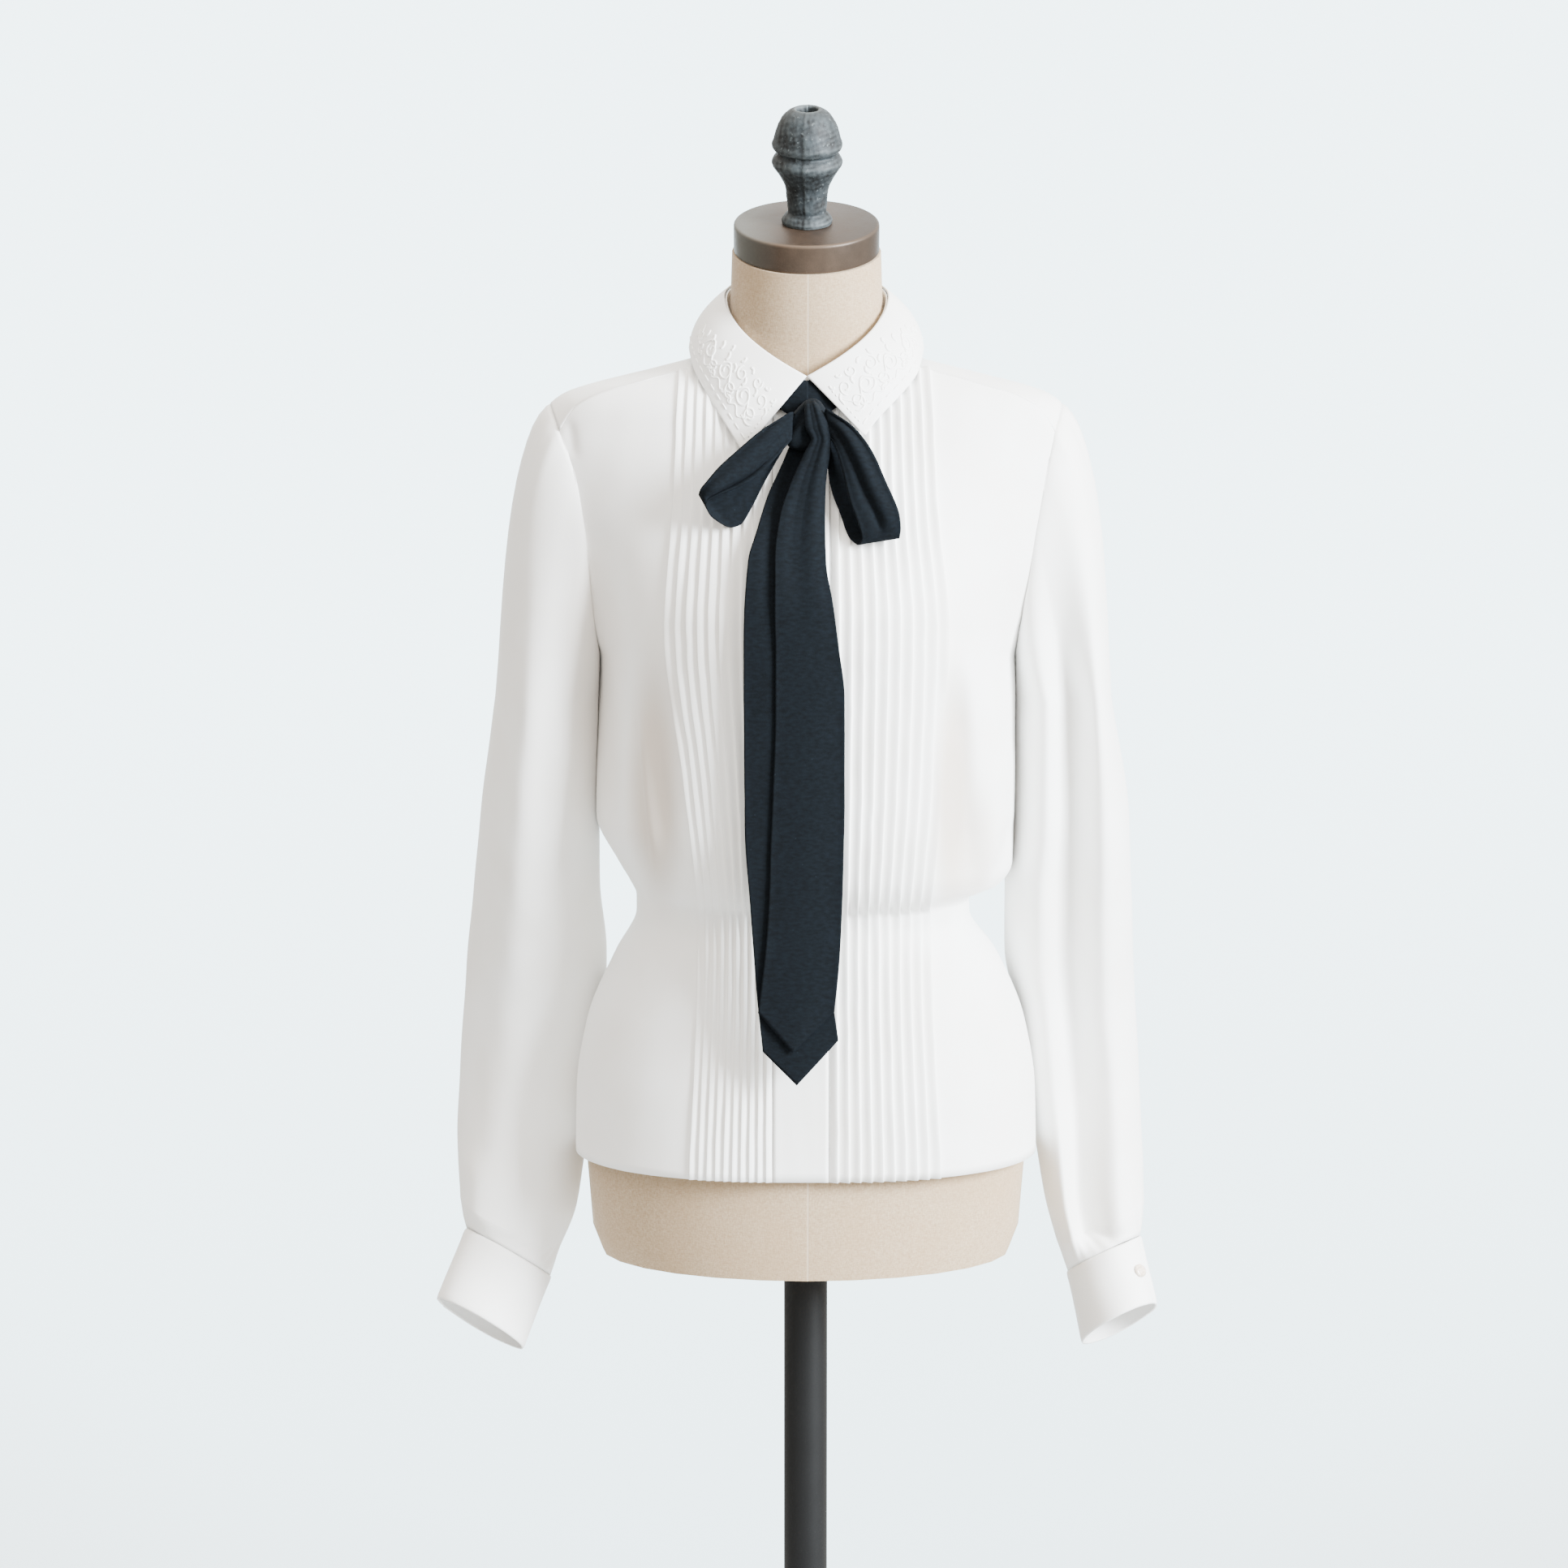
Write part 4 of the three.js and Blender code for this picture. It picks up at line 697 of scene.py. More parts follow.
def round_curve(controls, columns):
    """A closed curve through control points (points, rows, xyz) for all rows at once, as many columns between
    each two: cubic pieces whose slopes allow for the square roots of the distances between the points."""
    p0, p1, p2, p3 = np.roll(controls, 1, 0), controls, np.roll(controls, -1, 0), np.roll(controls, -2, 0)
    gap = lambda a, b: np.maximum(np.sqrt(np.linalg.norm(b - a, axis=-1, keepdims=True)), 1e-3)
    d0, d1, d2 = gap(p0, p1), gap(p1, p2), gap(p2, p3)
    m1 = ((p1 - p0) / d0 - (p2 - p0) / (d0 + d1) + (p2 - p1) / d1) * d1
    m2 = ((p2 - p1) / d1 - (p3 - p1) / (d1 + d2) + (p3 - p2) / d2) * d1
    t = (np.arange(columns) / columns)[None, :, None, None]
    p1, p2, m1, m2 = (v[:, None] for v in (p1, p2, m1, m2))
    line = p1 + m1 * t + (3 * (p2 - p1) - 2 * m1 - m2) * t * t + (2 * (p1 - p2) + m1 + m2) * t ** 3
    return np.moveaxis(line.reshape(-1, *line.shape[2:]), 0, 1)


def sleeve_rows(sign, form, z):
    """Rings of a sleeve at heights: the outer edge, two folds on the front, the inner edge, and a plainer back."""
    out, fold1, fold2, inn, y, deep, lean = (
        curve(form["rows"], k, z) for k in ("out", "fold1", "fold2", "inn", "y", "deep", "lean"))
    valley = form["valley"]
    at = lambda x, share: xyz(sign * x, y - share * deep, z + lean * (x - (out + inn) / 2))
    mix = lambda a, b, t: a + (b - a) * t
    return round_curve(np.stack([
        at(out, 0), at(fold1, 0.92 if valley else 1), at(fold2, 0.5 if valley else 0.86),
        at(mix(inn, fold2, 0.5 if valley else 0.22), 0.9 if valley else 0.4), at(inn, -0.08),
        at(mix(inn, out, 0.3), -0.85), at(mix(inn, out, 0.62), -0.72), at(mix(inn, out, 0.88), -0.62),
    ]), AROUND // 8)


def armhole(sign):
    """The armhole seam as a ring, from the shoulder's crown by the front to the underarm and up the back, each
    half in steps of equal length."""
    side = "right" if sign < 0 else "left"
    back_y = float(curve(BODY, "back_side", YOKE_BACK))
    crown = SHOULDER["y"]
    edge = lambda column, z: xyz(sign * curve(BODY, side, z), curve(BODY, column, z), z)
    t = np.linspace(0, 1, 60)
    down = np.concatenate([shoulder_edge(sign, crown + (YOKE_FRONT_Y - crown) * t - 1e-6),
                           edge("front_side", YOKE_FRONT + (UNDERARM - YOKE_FRONT) * t)])
    rise = np.concatenate([edge("back_side", UNDERARM + (YOKE_BACK - UNDERARM) * t),
                           shoulder_edge(sign, back_y + (crown - back_y) * t)])

    def even(line):
        """Points in equal steps along a line, its last one left out."""
        far = distances(line)
        steps = np.linspace(0, far[-1], AROUND // 2 + 1)[:-1]
        return np.stack([np.interp(steps, far, line[:, k]) for k in range(3)], axis=-1)

    return np.concatenate([even(down), even(rise)])


def cuff_rings(sign, cuff, down, grow):
    """Rings of a cuff, a share of the way down it and grown by mm: an oval that faces down, out and forwards."""
    outward = np.array([sign, 0, cuff["slope"]]) / math.hypot(1, cuff["slope"])
    forward = np.array([0, -1, cuff["pitch"]]) / math.hypot(1, cuff["pitch"])
    turn = 2 * np.pi * SHARES_ROUND[:, None]
    down, grow = np.broadcast_arrays(np.asarray(down, float), np.asarray(grow, float))
    centre = xyz(sign * (cuff["x"] + cuff["outward"] * down), cuff["y"] - cuff["forward"] * down,
                 cuff["z"] - cuff["drop"] * down)
    return (centre[:, None] + (cuff["half"] + grow)[:, None, None] * np.cos(turn) * outward
            + (cuff["deep"] + grow)[:, None, None] * np.sin(turn) * forward)


def reach(side, y, z):
    """How far out the body surface goes at depths and heights, and 0 where there is no cloth, as at the armhole."""
    front = y < curve(BODY, "front_side", z)
    edge = np.where(front, curve(BODY, "front_side", z), curve(BODY, "back_side", z))
    middle = np.where(front, curve(BODY, "front", z), curve(BODY, "back", z))
    share = (y - edge) / (middle - edge)
    inside = (share >= 0) & (share <= 1)
    share = np.clip(share, 0, 1)
    return np.where(inside, curve(BODY, side, z) * (1 - share ** (1 / curve(BODY, "corner", z))) ** (1 / 2.5), 0)


# Pearl: a moulded button with a soft, slightly pink lustre.
pearl, tree, shader = finish_of("moulded pearl", "#efe6da", 0.22,
                                Coat_Weight=0.6, Coat_Roughness=0.12, Sheen_Weight=0.3)
swirl = noise(tree, object_place(tree), 260.0, Distortion=3.0)
tree.links.new(ramp(tree, swirl, (0.35, "#cdb8a4"), (0.65, "#efe4d8")), shader.inputs["Base Color"])


def pearl_button(name, foot, facing):
    """A domed disc 10.4 mm across and 2.6 mm thick that stands on a point and faces along a direction."""
    profile = rounded([(0, 0), (4.4, 0), (5.2, 1.1), (4.3, 2.3), (0, 2.75)], (0.5, 0.6, 0.9))
    facing = facing / np.linalg.norm(facing)
    side_way = np.cross([0, 0, 1.0], facing)
    side_way /= np.linalg.norm(side_way)
    local = lathe(profile, 40, (0, 0, 0), 0)
    points = (foot + local[..., :1] * side_way + local[..., 1:2] * np.cross(facing, side_way)
              + local[..., 2:] * facing)
    surface(name + "_pearl", points, pearl, ring=True, slot="pearl", node_names=[name])


def sewn_button(name, cloth, facing_at, lift):
    """A button on the point of a cloth's grid that is nearest to its CAD node, lifted off the cloth by some mm."""
    middle = np.mean(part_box(name), axis=0) * 1000
    away = np.linalg.norm(cloth - middle, axis=-1)
    row, column = np.unravel_index(away.argmin(), away.shape)
    facing = facing_at(row, column)
    pearl_button(name, cloth[row, column] + lift * facing / np.linalg.norm(facing), facing)


for side, sign in SIDES.items():
    form, cuff = SLEEVES[side], SLEEVES[side]["cuff"]
    angle = 2 * np.pi * SHARES_ROUND
    heights = np.concatenate([np.arange(1192, 830, -5.0), np.arange(830, 796, -3.0), [796.0]])
    hanging = sleeve_rows(sign, form, heights)
    seam = armhole(sign) + 0.6 * xyz(-sign * 1.6, -np.sin(angle), np.maximum(np.cos(angle), 0))
    steps = np.array(HEAD_STEPS)[:, None, None]
    puff = 15 * np.sin(np.pi * steps[..., 0] ** 0.55)
    head = seam + (hanging[0] - seam) * steps
    head[..., 0] += sign * puff * np.maximum(0, np.cos(angle))
    head[..., 1] -= 0.35 * puff * np.sin(angle)
    end = cuff_rings(sign, cuff, [-0.022], [0.0])
    gathered = hanging[-1] + (end[0] - hanging[-1]) * np.linspace(0, 1, 5)[1:-1, None, None] ** 0.8
    rings = np.concatenate([head, hanging, gathered, end])
    x, y, z = np.moveaxis(rings, -1, 0)
    n = normals(rings, ring=True) * -sign
    facing, behind = smooth(-n[..., 1], 0.05, 0.5), smooth(n[..., 1], 0.05, 0.5)
    turn = np.broadcast_to(SHARES_ROUND, x.shape)
    drape = facing * 1.35 * sum(crease(x, z, *c) for c in form["creases"])
    for at, high, low, wide, depth in BACK_CREASES:
        ends = smooth(z, low, low + 120) * (1 - smooth(z, high - 120, high))
        drape = drape + behind * depth * bell(turn, at + 0.02 * np.sin(z / 90), wide) * ends
    drape = drape + 0.9 * waves(x, y, z * 0.22, seed=31, scale=42) * smooth(1300 - z, 0, 120)
    low = np.linalg.norm(rings - end[0], axis=-1)
    pull = np.exp(-(low / 22) ** 1.3)
    full = turn * 2 * np.pi
    pleats = np.sin(full * 17 + 2.2 * np.sin(full * 3)) * (0.6 + 0.4 * np.sin(full * 5 + 1))
    drape = drape * (1 - pull) + pull * (1.1 * pleats - 0.4) * smooth(low, 0, 9)
    eased = bell(z, 1392, 22) * np.maximum(0, np.cos(full)) ** 2
    drape = drape + eased * 0.9 * np.sin(full * 26)
    ring_number, last = np.arange(len(rings)), len(rings) - 1
    fixed = (smooth(ring_number, 0, 3) * (1 - smooth(ring_number, last - 1, last)))[:, None]
    rings = rings + n * (drape * fixed)[..., None]
    # No part of a sleeve goes within 2 mm of the body's cloth, apart from the seam itself.
    least = reach(side, rings[..., 1], rings[..., 2])
    least = np.where(least > 0, least + 2.0, 0)
    least[0] = 0
    rings[..., 0] = np.where(np.abs(rings[..., 0]) < least, sign * least, rings[..., 0])
    made = surface(f"sleeve_{side}_crepe", rings, crepe, ring=True, turned=sign > 0, thick=0.7,
                   slot="crepe", node_names=[f"sleeve_{side}"])

    down = np.concatenate([np.linspace(0, 0.08, 5), np.linspace(0.08, 0.92, 14)[1:-1], np.linspace(0.92, 1, 5)])
    edge_roll = 0.5 * np.sqrt(np.clip(1 - (np.minimum(down, 1 - down) / 0.03 - 1).clip(-1, 0) ** 2, 0, 1))
    wrap = cuff_rings(sign, cuff, down, edge_roll - 0.1)
    n = normals(wrap, ring=True) * -sign
    across, turn = np.meshgrid(down, SHARES_ROUND, indexing="ij")
    ripple = 0.5 * waves(turn * 230, across * 40, seed=41, scale=60)
    stitch = -0.22 * (bell(across, 0.07, 0.012) + bell(across, 0.93, 0.012))
    lap = cuff["lap"]
    overlap = 0.8 * smooth(turn, lap - 0.004, lap + 0.004) * (1 - smooth(turn, lap + 0.10, lap + 0.2))
    wrap = wrap + n * (ripple + stitch + overlap)[..., None]
    wrap[..., 2] += cuff["slant"] * np.sin(2 * np.pi * turn) * smooth(across, 0.3, 1.0)
    made = surface(f"cuff_{side}_crepe", wrap, crepe, ring=True, turned=sign > 0, thick=1.5,
                   slot="crepe", node_names=[f"cuff_{side}"])
    sewn_button(f"cuff_button_{side}", wrap, lambda row, column: wrap[row, column] - wrap[row].mean(axis=0), 1.7)

for number in range(1, 6):
    sewn_button(f"front_button_{number}", band, lambda row, column: normals(band)[row, column], 0.3)


# Collar: a shaped stand and a pointed leaf turned over it, in the same crepe, with a white-on-white scroll
# ornament in raised satin stitch and a border of short bar stitches along its outer edge.

FOLD_RING = dict(half=56.5, y=-8, deep=57.5)
COLLAR_FOLD = dict(angle=[0, 21, 42, 71, 95, 130, 180], z=[1424, 1436, 1449, 1468, 1481, 1489, 1492])
COLLAR_EDGE = dict(angle=[3, 30, 62, 95, 125, 152, 180],
                   x=[45, 62, 79, 83, 70, 40, 0], y=[-84, -66, -38, 2, 42, 65, 73],
                   z=[1373, 1400, 1430, 1444, 1445, 1442, 1440])


def collar_fold(sign, angle):
    """The ring where the collar turns over, by angle from the middle front: an oval that climbs to the back."""
    a = np.radians(angle)
    return xyz(sign * FOLD_RING["half"] * np.sin(a), FOLD_RING["y"] - FOLD_RING["deep"] * np.cos(a),
               curve(COLLAR_FOLD, "z", angle))


def neck_ring(sign, angle):
    """The neck seam all round: the fronts' neck edge up to 70 degrees, then the yoke's."""
    x = 62 * np.sin(np.radians(np.clip(angle, 0, NECK_CORNER) * 90 / NECK_CORNER))
    front = skin("right" if sign < 0 else "left", -1, x, curve(TOP_EDGE, "z", np.minimum(x, 61.99)))
    return np.where((angle >= NECK_CORNER)[..., None], neck_seam(sign, angle), front)


def round_the_neck(piece, angles, across):
    """A grid round the neck from the right front by the back to the left front, a row for each share across."""
    r, a = np.meshgrid(across, angles, indexing="ij")
    return np.concatenate([piece(-1, a, r), piece(1, a, r)[:, -2::-1]], axis=1)


def stand_points(sign, angle, up):
    """The collar stand: straight from just over the neck seam to the fold."""
    low = neck_ring(sign, angle)
    low[..., 2] += SEAM
    return low + (collar_fold(sign, angle) - low) * up[..., None]


def leaf_points(sign, angle, down):
    """The collar leaf: from just over the fold to its outer edge, bowed out behind; the left tip sits higher."""
    a = np.radians(angle)
    fold = collar_fold(sign, angle) + xyz(sign * 1.5 * np.sin(a), -1.5 * np.cos(a), 0.8)
    tip = smooth(60 - angle, 0, 57) if sign > 0 else 0
    edge = xyz(sign * (curve(COLLAR_EDGE, "x", angle) - 4 * tip), curve(COLLAR_EDGE, "y", angle) + 4 * tip,
               curve(COLLAR_EDGE, "z", angle) + 11 * tip)
    p = fold + (edge - fold) * down[..., None]
    bow = 4 * down * (1 - down) * smooth(angle, 0, 60)
    swing = np.sin(a * 3.2 + (0.6 if sign > 0 else 0)) * (1 - smooth(angle, 70, 120))
    soft = 1.2 * np.sin(np.pi * down) * swing
    return p + xyz(sign * 5 * bow * np.sin(a), -(4 * bow + 0.8 * soft) * np.cos(a), 2.5 * bow)


angles = np.concatenate([np.linspace(0.15, 70, 50), np.linspace(70, 180, 60)[1:]])
stand = round_the_neck(stand_points, angles, np.linspace(0, 1, 14))
face = stand - normals(stand) * (CLOTH - 0.1)
made = surface("collar_stand_crepe", face, crepe, turned=True, thick=0.9,
               slot="crepe", node_names=["collar_stand"])

down = np.linspace(0, 1, 45)
leaf = round_the_neck(leaf_points, angles, down)
hem = 0.22 * bell(down, 0.9, 0.012)[:, None]
face = leaf + normals(leaf) * (1.3 - hem)[..., None]
made = surface("collar_leaf_crepe", face, crepe, thick=0.9, slot="crepe", node_names=["collar"])

# White cotton embroidery: close satin stitches across each line of the ornament, raised and a little glossy.
floss, tree, shader = finish_of("white embroidery cotton", "#fbfbf9", 0.5, Sheen_Weight=0.4, Sheen_Roughness=0.3)
on_cloth = node(tree, "TexCoord").outputs["UV"]
satin = node(tree, "TexWave", {"Vector": on_cloth, "Scale": 420.0, "Distortion": 0.4},
             wave_type="BANDS", bands_direction="Y")
relief(tree, shader, satin.outputs["Fac"], 0.4, 0.0002)


def on_leaf(sign, along, inwards, lift):
    """Points on the collar leaf by mm along its outer edge from the tip and mm in from that edge, and lifted."""
    fine = np.linspace(1, 178, 1200)
    edge = leaf_points(sign, fine, np.ones_like(fine))
    fold = leaf_points(sign, fine, np.zeros_like(fine))
    far = distances(edge)
    angle = np.interp(along, far, fine)
    wide = np.interp(along, far, np.linalg.norm(edge - fold, axis=1))
    down = np.clip(1 - inwards / wide, 0.03, 0.995)
    p = leaf_points(sign, angle, down)
    da = leaf_points(sign, angle + 0.4, down) - p
    dd = leaf_points(sign, angle, down + 0.01) - p
    n = np.cross(da, dd) * -sign
    n /= np.linalg.norm(n, axis=-1, keepdims=True)
    return p + n * (1.3 + lift)[..., None]


def raised_line(sign, along, inwards, wide, high):
    """A satin-stitched line on the leaf: a low half-round ridge, wide and high mm, tapering to both ends."""
    t = np.linspace(0, 1, len(along))
    taper = np.minimum(1, np.minimum(t, 1 - t) * 10 + 0.25)
    d = np.stack([np.gradient(along), np.gradient(inwards)], axis=-1)
    d /= np.maximum(np.linalg.norm(d, axis=-1, keepdims=True), 1e-9)
    turn = np.linspace(0, np.pi, 7)
    off = np.cos(turn)[None, :] * (wide / 2 * taper)[:, None]
    lift = np.sin(turn)[None, :] * (high * taper)[:, None]
    return on_leaf(sign, along[:, None] - d[:, 1:] * off, inwards[:, None] + d[:, :1] * off, lift - 0.12)


def join(name, grids, material, slot):
    """Several small grids, each a ridge open underneath, as one mesh."""
    verts, faces, first = [], [], 0
    for grid in grids:
        rows, columns = grid.shape[:2]
        index = first + np.arange(rows * columns).reshape(rows, columns)
        over = np.stack([index[:-1, :-1], index[:-1, 1:], index[1:, 1:], index[1:, :-1]], axis=-1)
        faces.append(over.reshape(-1, 4))
        faces.append(np.stack([index[:-1, -1], index[:-1, 0], index[1:, 0], index[1:, -1]], axis=-1))
        verts.append(grid.reshape(-1, 3))
        first += rows * columns
    mesh = bpy.data.meshes.new(name)
    mesh.from_pydata((np.concatenate(verts) / 1000).tolist(), [], np.concatenate(faces).tolist())
    work = bmesh.new()
    work.from_mesh(mesh)
    bmesh.ops.holes_fill(work, edges=[e for e in work.edges if e.is_boundary], sides=12)
    bmesh.ops.recalc_face_normals(work, faces=work.faces)
    work.to_mesh(mesh)
    work.free()
    placed(name, mesh, material, slot)


def scroll(at, inward, size, turns, start, way):
    """A spiral: the radius falls evenly from size as the angle goes on, round a middle at (at, inward)."""
    t = np.linspace(0, 1, 34)
    a = math.radians(start) + way * 2 * np.pi * turns * t
    r = size * (1 - 0.72 * t)
    return at + r * np.cos(a), inward + r * np.sin(a)


for side, sign in SIDES.items():
    lines = []
    for at, inward, size, turns, start, way, wide in (
        (13, 19, 6.6, 1.25, 200, 1, 1.7), (13, 32, 5.2, 1.15, 250, -1, 1.5), (26, 23, 7.2, 1.3, 20, -1, 1.8),
        (38, 17, 6.0, 1.3, 190, 1, 1.6), (38, 31, 5.0, 1.2, 60, -1, 1.5), (50, 22, 6.4, 1.3, 30, -1, 1.6),
        (61, 16, 5.2, 1.25, 190, 1, 1.5), (71, 21, 5.4, 1.2, 20, -1, 1.5), (82, 15, 4.4, 1.2, 190, 1, 1.4),
        (24, 37, 4.6, 1.1, 120, 1, 1.4), (91, 19, 4.4, 1.2, 30, -1, 1.4),
    ):
        lines.append(raised_line(sign, *scroll(at, inward, size, turns, start, way), wide, 0.8))
    stem = np.linspace(5, 98, 90)
    climb = 24 - 4 * stem / 98 + 5.5 * np.sin(stem * 2 * np.pi / 24 + 0.9)
    lines.append(raised_line(sign, stem, climb, 1.6, 0.8))
    runner = stem[8:70]
    lines.append(raised_line(sign, runner, 12.5 + 1.8 * np.sin(runner * 2 * np.pi / 12), 1.2, 0.7))
    t = np.linspace(0, 1, 14)
    for at, inward, heading, size in (
        (4, 26, 60, 7), (19, 14, 150, 6), (20, 29, 60, 6), (32, 11, 20, 6), (33, 26, 80, 6), (44, 26, 45, 6),
        (45, 12, 160, 6), (56, 26, 70, 6), (56, 12, 20, 5), (66, 27, 60, 6), (66, 12, 150, 5), (77, 24, 60, 5),
        (77, 11, 20, 5), (86, 22, 80, 5), (31, 37, 20, 5), (17, 40, 140, 5), (7, 38, 120, 5), (97, 15, 60, 5),
        (45, 35, 100, 5), (58, 33, 60, 4),
    ):
        a = math.radians(heading)
        bend = size * 0.3 * np.sin(np.pi * t)
        lines.append(raised_line(sign, at + size * t * math.cos(a) - bend * math.sin(a),
                                 inward + size * t * math.sin(a) + bend * math.cos(a), 2.1, 0.8))
    for k in np.arange(4, 138, 9.0):
        lines.append(raised_line(sign, k + np.linspace(0, 6.2, 7), np.full(7, 6.5), 1.3, 0.7))
    for k in np.arange(9, 34, 8.0):
        for rung in (0, 3.4):
            lines.append(raised_line(sign, np.full(5, 3.5), k + rung + np.linspace(0, 2.2, 5), 1.4, 0.7))
    join(f"collar_embroidery_{side}", lines, floss, "crepe")


# Neck tie: one long strip of blue-black cotton in a plain weave, doubled and turned at its edges. It runs round
# the neck under the collar, is tied in a bow whose two loops hang, and its tails end in mitred points.

tie, tree, shader = finish_of("blue-black cotton", "#0d1014", 0.9, Specular_IOR_Level=0.06)
place = object_place(tree)
warp, weft = (node(tree, "TexWave", {"Vector": place, "Scale": 560.0, "Distortion": 1.2, "Detail": 1.0},
                   wave_type="BANDS", bands_direction=way).outputs["Fac"] for way in "XZ")
slub = noise(tree, stretched(tree, place, (0.45, 1, 1.0)), 520.0, Detail=3.0)
dyed = ramp(tree, slub, (0.3, "#0b0e11"), (0.75, "#10151a"))
lint = node(tree, "TexVoronoi", {"Vector": place, "Scale": 90.0, "Randomness": 1.0})
fleck = spread(tree, lint.outputs["Distance"], 0.03, 0.06, 0.5, 0.0)
tree.links.new(blend(tree, fleck, dyed, "#1d242b"), shader.inputs["Base Color"])
relief(tree, shader, combined(tree, combined(tree, warp, weft, "MULTIPLY"), slub), 0.4, 0.0003)

TIE_BAND = dict(half=63.2, y=-6, deep=62.5, high=13)


def band_points(sign, angle, up):
    """The tie round the neck, by angle from the middle front: it widens downwards and comes forward at the knot."""
    a = np.radians(angle)
    middle = (neck_ring(sign, angle)[..., 2] + collar_fold(sign, angle)[..., 2]) / 2 - 3
    low = smooth(48 - angle, 0, 26) * (1 - up)
    deep = TIE_BAND["deep"] + 2 * (1 - up) + 5 * low
    return xyz(sign * (TIE_BAND["half"] + 3 * (1 - up)) * np.sin(a), TIE_BAND["y"] - deep * np.cos(a),
               middle + (up - 0.5) * TIE_BAND["high"] - 9 * low)


neck_band = round_the_neck(band_points, np.linspace(22, 180, 60), np.linspace(0, 1, 8))
# From the band's two front ends a pleated strand runs to the knot, and the two overlap in the middle.
strands = []
for side_way, sign in ((0, -1), (-1, 1)):
    start = neck_band[:, side_way]
    end = np.array([-sign, -74 + 0.6 * sign, 1390]) + np.array([0, 6.5, 31.5]) * np.linspace(0, 1, 8)[:, None]
    t = np.linspace(0, 1, 22)[None, 1:, None]
    pleat = 0.9 * t * np.sin(np.linspace(0.2, 0.9, 8) * 4 * np.pi)[:, None, None]
    strands.append(start[:, None] + (end - start)[:, None] * t - pleat * [0, 1, 0])
neck_band = np.concatenate([strands[0][:, ::-1], neck_band, strands[1]], axis=1)
face = neck_band - normals(neck_band) * 1.1
made = surface("tie_band_cotton", face, tie, turned=True, thick=0.9, slot="tie", node_names=["tie_band"])

TAILS = dict(
    front=dict(
        point=(0, -28, 1),
        z=[985, 1010, 1050, 1125, 1205, 1240, 1270, 1300, 1330, 1350, 1374.5, 1383, 1391, 1400, 1407, 1409],
        left=[-34, -31, -27.5, -24.5, -22, -22, -22.5, -22.5, -19, -12.5, -1.5, 2.5, -1.5, -2, -1.5, 0],
        right=[19.5, 22, 24, 26, 26, 22, 18, 13, 12.5, 13, 16, 16.5, 15.5, 12, 8, 6],
        y=[-137.5, -138, -138, -138, -138, -138, -136.5, -128, -116, -109,
           -103.5, -102.5, -101, -97.5, -92.5, -89]),
    back=dict(
        point=(0, -24, 8), z=[957, 1000, 1050, 1125, 1233, 1265, 1300, 1320, 1342, 1366, 1378, 1386],
        left=[-31, -35, -39, -43.5, -44, -43.5, -41, -35, -28, -17, -12, -8],
        right=[22, 17, 13, 8, 6, 4, 2, 3, 5, 6, 6, 5],
        y=[-134.5, -135, -135, -135, -135, -132.9, -124, -114.8, -101.8, -90.5, -88, -87]),
)
for which, form in TAILS.items():
    rows = {k: form[k] for k in ("z", "left", "right", "y")}
    r, c = np.meshgrid(np.linspace(0, 1, 150), np.linspace(0, 1, 41), indexing="ij")
    z = form["z"][0] + (form["z"][-1] - form["z"][0]) * r
    drop = np.interp(c, [0, 0.45, 1], form["point"]) * (1 - r) ** 6
    left, right = curve(rows, "left", z), curve(rows, "right", z)
    x = left + (right - left) * c
    gathered = smooth(z, 1230, 1350)
    y = curve(rows, "y", z) - (1.5 + 2.5 * smooth(z, 1330, 1380)) * np.sin(np.pi * c)
    flat_part = 0.5 * (1 - gathered) * waves(x, z * 0.5, seed=51, scale=60)
    folds = gathered * 1.3 * np.sin(c * 2 * np.pi * 1.5 + 0.8) + flat_part
    hem = 0.35 * (bell(c, 0, 0.05) + bell(c, 1, 0.05))
    wander = 0.35 * waves(z, c * 0, seed=52, scale=70)
    sheet = xyz(x + wander, y - 1.1 - hem - np.maximum(folds, -0.8), z + drop)
    made = surface(f"tie_tail_{which}_cotton", sheet, tie, thick=0.9,
                   slot="tie", node_names=[f"tie_tail_{which}"])

# Each loop by stations round it, from the knot out along its front and back behind: its two edges as seen from
# the front, and how deep it lies. flat is the pleated width that shows by the length, out and back.
LOOPS = dict(
    right=dict(
        around=[0, 0.12, 0.24, 0.35, 0.44, 0.48, 0.51, 0.55, 0.62, 0.72, 0.84, 1.0],
        high_x=[-10, -30.5, -48.9, -61.2, -70, -73.2, -74, -72.5, -66, -54, -34, -10],
        high_z=[1402, 1389.7, 1374.3, 1363, 1352.5, 1348.5, 1345.5, 1344.5, 1352, 1364, 1381, 1400],
        low_x=[-11, -22, -37, -49, -62, -69, -66, -53, -46.5, -38, -28, -14],
        low_z=[1383, 1370, 1356, 1349.5, 1344, 1339, 1331, 1322, 1323.5, 1336, 1356, 1382],
        y=[-99, -106, -112, -116, -119, -118.5, -115, -109.5, -107.5, -104, -98, -93], flat=(0.024, 0.187)),
    left=dict(
        around=[0, 0.12, 0.24, 0.36, 0.45, 0.485, 0.51, 0.55, 0.65, 0.77, 0.88, 1.0],
        high_x=[13, 29, 43, 54, 63.5, 64.5, 63.5, 62, 56, 44, 29, 13],
        high_z=[1404, 1394, 1377.5, 1354, 1330, 1321, 1316, 1319, 1341, 1369, 1390, 1400],
        low_x=[14, 19.5, 25, 30, 36, 38, 35, 29, 22.8, 17, 14.5, 14],
        low_z=[1386, 1379, 1362, 1341, 1324, 1315.5, 1311.5, 1316, 1332, 1347, 1362, 1380],
        y=[-99, -106, -112.5, -118, -122, -121, -118, -113, -107.5, -102, -97, -93], flat=(0.029, 0.198)),
)
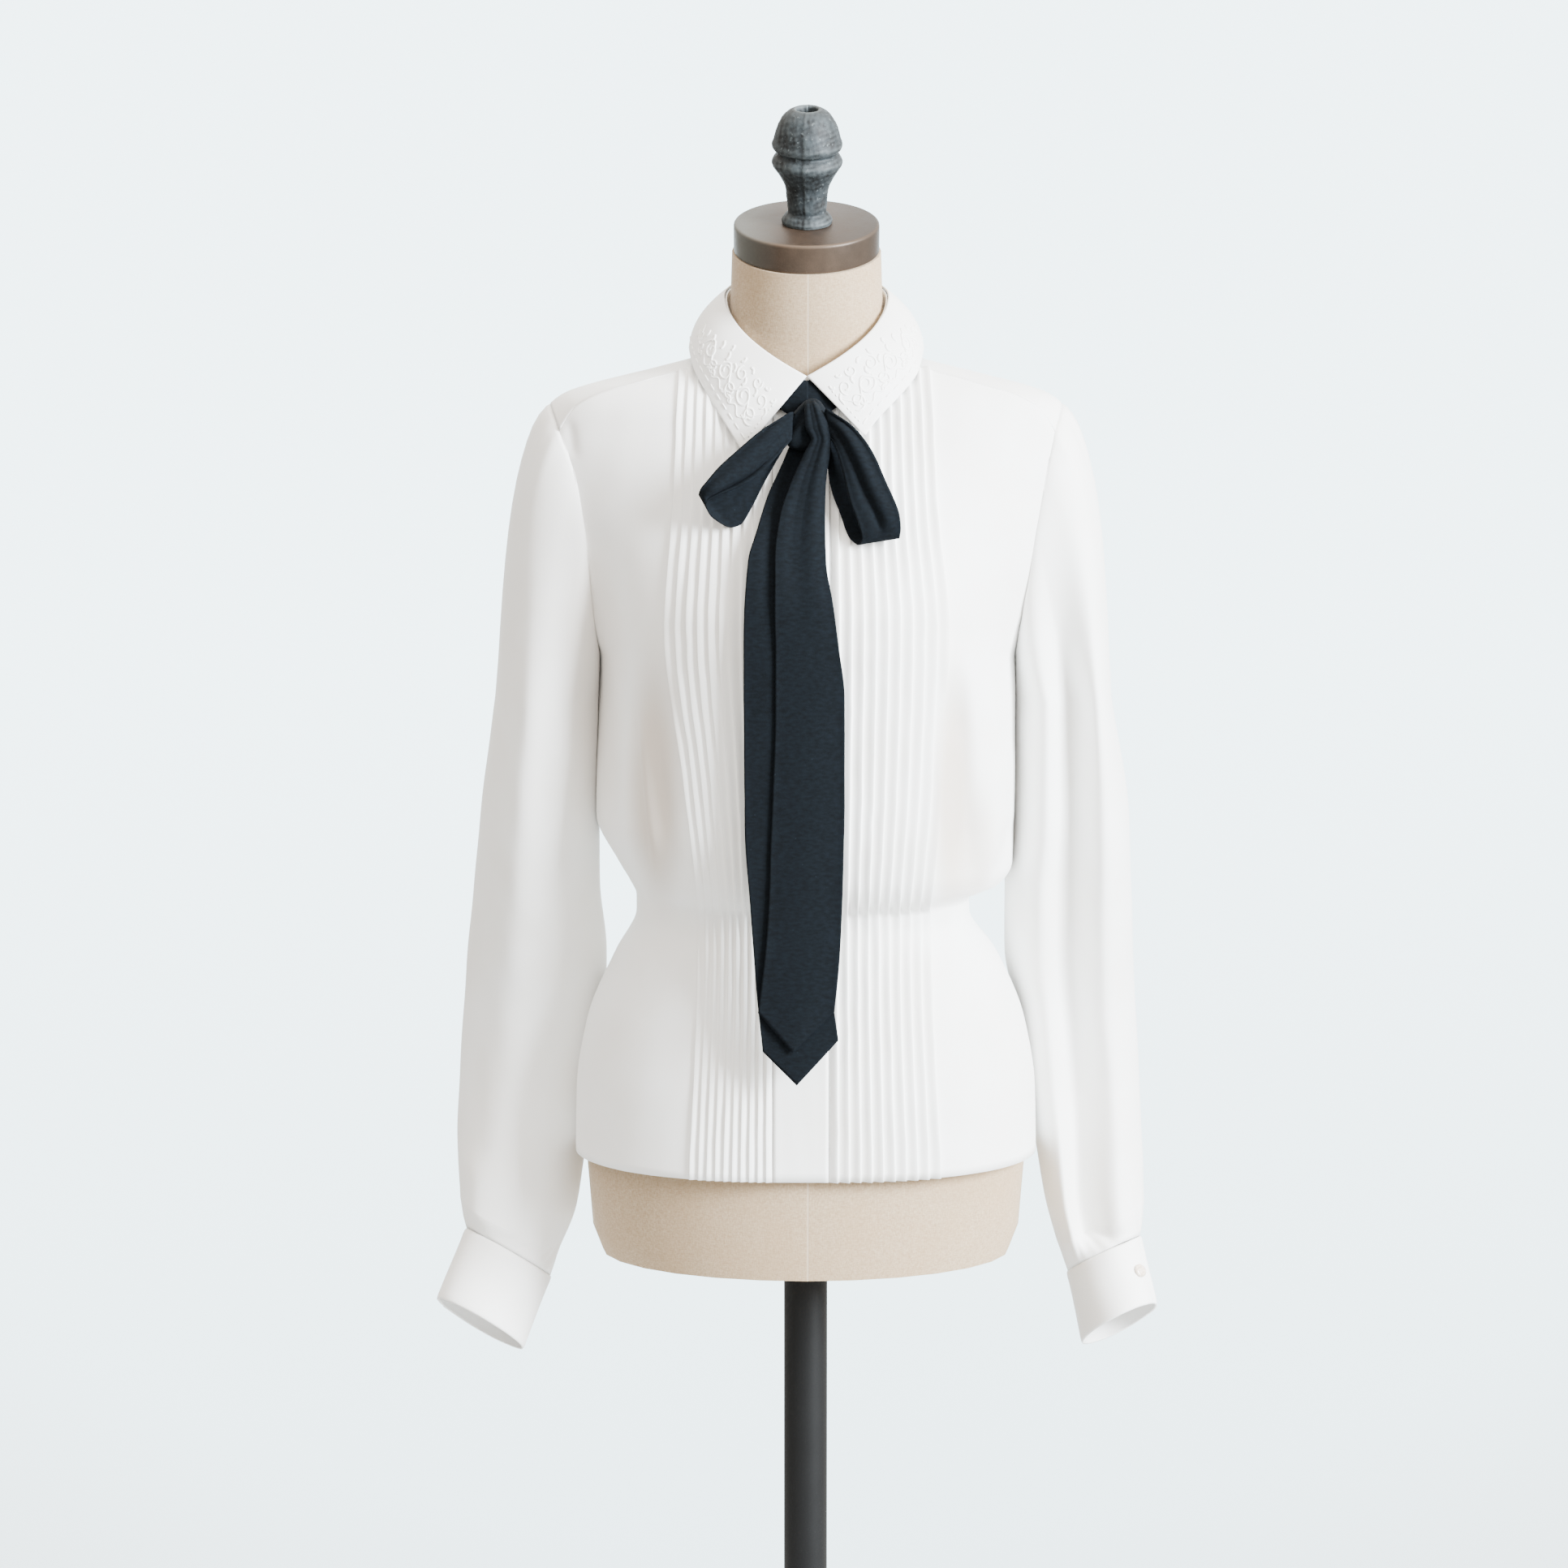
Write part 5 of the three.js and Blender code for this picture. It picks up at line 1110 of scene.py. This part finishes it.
for which, form in LOOPS.items():
    sign = SIDES[which]
    w, t = np.meshgrid(np.linspace(-1, 1, 33), 1 - np.linspace(0, 1, 161)[:-1], indexing="ij")
    low_share = (1 - sign * w) / 2
    x, z = (curve(form, "high_" + k, t) * (1 - low_share) + curve(form, "low_" + k, t) * low_share
            for k in "xz")
    front = 1 - smooth(t, 0.44, 0.5)
    pleat = 1.4 * np.cos(2.5 * np.pi * w + 0.6) * np.abs(2 * t - 1) ** 2 * smooth(t, 0.0, 0.1)
    from_knot = front * smooth(t, 0.03, 0.12)
    # The left loop has a long valley along its middle, and the right one a valley that opens from its low edge.
    if which == "left":
        middle = 0.16 * np.sin(5 * t + 1)
        valley = 2.4 * bell(low_share, 0.55 + middle, 0.12) * from_knot
    else:
        middle = 0.16 * np.sin(5 * t)
        valley = 5.0 * bell(low_share, 0.84, 0.03 + 0.22 * t) * front * smooth(t, 0.1, 0.36)
    ridge = -1.8 * bell(low_share, 0.28 + middle, 0.16) * from_knot
    swell = -1.6 * (1 - w ** 2) * np.sin(np.pi * np.clip(t / 0.5, 0, 1))
    hem = -0.4 * bell(np.abs(w), 0.93, 0.05) * front
    grid = xyz(x, curve(form, "y", t) + pleat + valley + ridge + swell + hem, z)
    face = grid - normals(grid, ring=True) * 0.45
    made = surface(f"tie_loop_{which}_cotton", face, tie, ring=True, thick=0.9,
                   slot="tie", node_names=[f"tie_loop_{which}"])

# The knot: the strip's own turn round itself, drawn as one soft wrap with its pleats running up to the left.
v, a = np.meshgrid(np.linspace(-1, 1, 41), np.linspace(0, 2 * np.pi, 97)[:-1], indexing="ij")
size = np.maximum((1 - np.abs(v) ** 3.2) ** 0.42, 0.25)
square = lambda n: np.sign(n) * np.abs(n) ** 0.75
deep = np.where(np.sin(a) > 0, 17.9 + 5.5 * v, 9.5)
facing = np.clip(-np.sin(a) + 0.3, 0, 1)
fold = 1.5 * np.sin(2 * np.pi * (v * 0.75 - np.cos(a) * 0.9) + 0.6) * facing * (1 - v ** 2)
narrow = 1 - 0.3 * smooth(v, 0.0, 1.0)
x = 1.5 + (15 * narrow + 0.6 * fold) * size * (1 - 0.14 * v) * square(np.cos(a)) + 2.5 * v
y = -89.5 + 3.5 * v + (deep + fold) * size * square(np.sin(a))
wrap = xyz(x, y, 1392 + 18 * v)
closed = [np.broadcast_to(row.mean(axis=0), (1, *row.shape)) for row in (wrap[0], wrap[-1])]
wrap = np.concatenate([closed[0], wrap, closed[1]])
surface("tie_knot_cotton", wrap, tie, ring=True, slot="tie", node_names=["tie_knot"])
